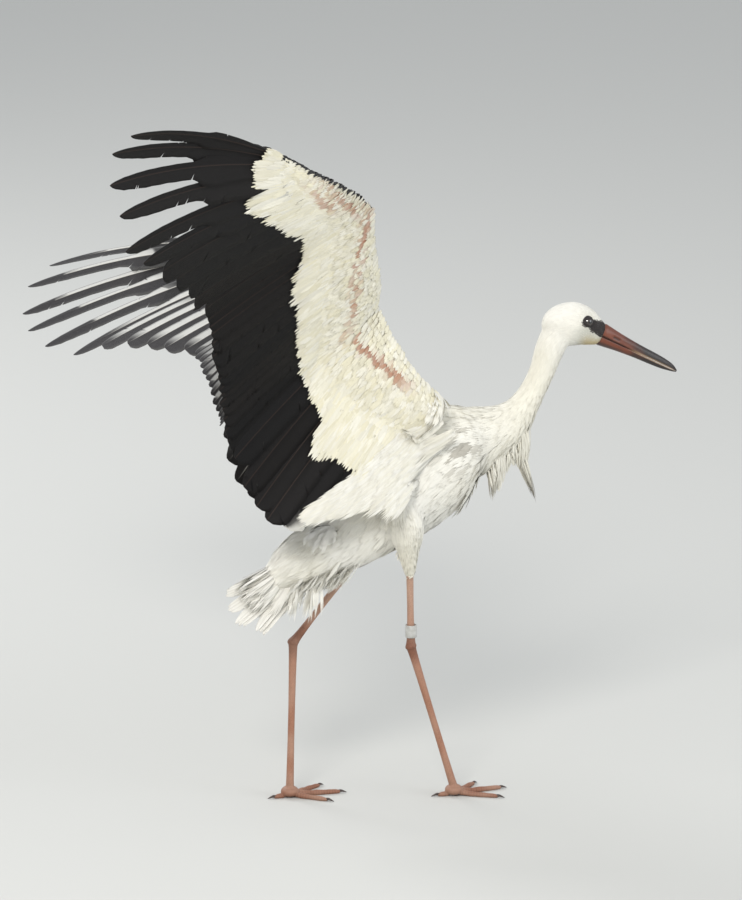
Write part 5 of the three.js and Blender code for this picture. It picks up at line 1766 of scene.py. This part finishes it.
def leg_ring():
    """Plain plastic band above the right ankle, with rounded rims and the step where its ends lap."""
    sides = 64
    turn = 2 * math.pi * np.arange(sides) / sides
    high, edge = RING_HEIGHT, 0.3
    section = [(RING_INNER, edge), (RING_INNER + edge, 0), (RING_OUTER - edge, 0), (RING_OUTER, edge),
               (RING_OUTER, high * 0.33), (RING_OUTER, high * 0.66), (RING_OUTER, high - edge),
               (RING_OUTER - edge, high), (RING_INNER + edge, high), (RING_INNER, high - edge)]
    lap = 1 - 0.035 * smooth(0.06, 0.0, np.abs(turn / (2 * math.pi) - 0.82))
    grid = []
    for radius, z in section:
        r = radius * (lap if radius > (RING_INNER + RING_OUTER) / 2 else 1.0)
        grid.append(np.stack([r * np.cos(turn), r * np.sin(turn), 0 * turn + z], -1))
    n = len(section)
    quads = tube_faces(n, sides, closed=True)
    cell = np.stack([quads[:, 0] % sides / sides, quads[:, 0] // sides / n], -1)
    corner = np.array([[0, 0], [1, 0], [1, 1], [0, 1]]) * [1 / sides, 1 / n] * 0.96
    points = np.array(grid) + LEGS["right"]["ankle"] + [0, 0, RING_ABOVE_ANKLE]
    piece("ring_band", points, join_faces(quads), [RING], ["leg_ring"], uv=cell[:, None] + corner)


# ---------------------------------------------------------------------------
# Stage, lights and camera
# ---------------------------------------------------------------------------

FLOOR_REACH = 45.0                 # half the floor's width, in metres


def stage():
    """One wide pale floor."""
    mesh = bpy.data.meshes.new("studio_floor")
    corners = [(x * FLOOR_REACH, y * FLOOR_REACH, 0.0) for x, y in ((-1, -1), (1, -1), (1, 1), (-1, 1))]
    mesh.from_pydata(corners, [], [(0, 1, 2, 3)])
    paper = Shader("studio_paper", Roughness=0.9, Base_Color=(*colour(198, 198, 194), 1))
    mesh.materials.append(paper.material)
    floor = new_object("studio_floor", mesh)


def aim(obj, spot, way):
    """Put a lamp or camera at a spot and point it that way."""
    obj.location = spot
    obj.rotation_euler = Vector(way).to_track_quat("-Z", "Y").to_euler()


def lamp(name, spot, size, power, tint=(1, 1, 1)):
    """A round soft light that shines on the middle of the bird."""
    light = bpy.data.lights.new(name, "AREA")
    light.shape = "DISK"
    light.size = size
    light.energy = power
    light.color = tint
    aim(new_object(name, light), spot, Vector((0.0, 0.0, 0.6)) - Vector(spot))


CAMERA_AZIMUTH, CAMERA_ELEVATION, CAMERA_DISTANCE = -20.0, 14.0, 9.0
CAMERA_TARGET = place([30.1, 122.3, 502.1])
SENSOR, FRAME_HEIGHT = 36.0, 1.35      # sensor's height; height that the picture spans at the target


def camera():
    data = bpy.data.cameras.new("camera")
    data.sensor_fit = "VERTICAL"
    data.sensor_height = SENSOR
    data.lens = SENSOR * CAMERA_DISTANCE / FRAME_HEIGHT
    data.clip_end = 120
    a, e = math.radians(CAMERA_AZIMUTH), math.radians(CAMERA_ELEVATION)
    back = Vector((math.sin(a) * math.cos(e), -math.cos(a) * math.cos(e), math.sin(e)))
    obj = new_object("camera", data)
    aim(obj, Vector(CAMERA_TARGET) + back * CAMERA_DISTANCE, -back)
    bpy.context.scene.camera = obj


def lights():
    """Warm key from the front left, cool fill from the right, a rim light from behind, and a pale sky."""
    lamp("key", (-2.3, -3.5, 3.5), 1.6, 146, (1, 0.97, 0.93))
    lamp("fill", (3.6, -3.4, 2.2), 3.0, 78, (0.94, 0.97, 1))
    lamp("rim", (-1.6, 3.6, 3.4), 2.0, 95)
    world = bpy.data.worlds.new("studio")
    world.use_nodes = True
    sky = world.node_tree.nodes["Background"].inputs
    sky["Color"].default_value = (0.93, 0.96, 1, 1)
    sky["Strength"].default_value = 0.75
    bpy.context.scene.world = world
    bpy.context.scene.view_settings.view_transform = "Standard"


# ---------------------------------------------------------------------------
# The whole model
# ---------------------------------------------------------------------------

whole_skin()
for half in (True, False):
    bill(half)
for side_name, side_sign in (("right", -1), ("left", 1)):
    eye(side_name, side_sign)
    claws(side_name)
leg_ring()
body_coat()
for wing_plan in PLANS.values():
    for wing_face in (-1, 1):
        wing_coverts(wing_plan, wing_face)
    drapes(wing_plan)
    remiges(wing_plan)
tail()
tail_strands()
hanging_plumes()
vent_fluff()
stage()
lights()
camera()
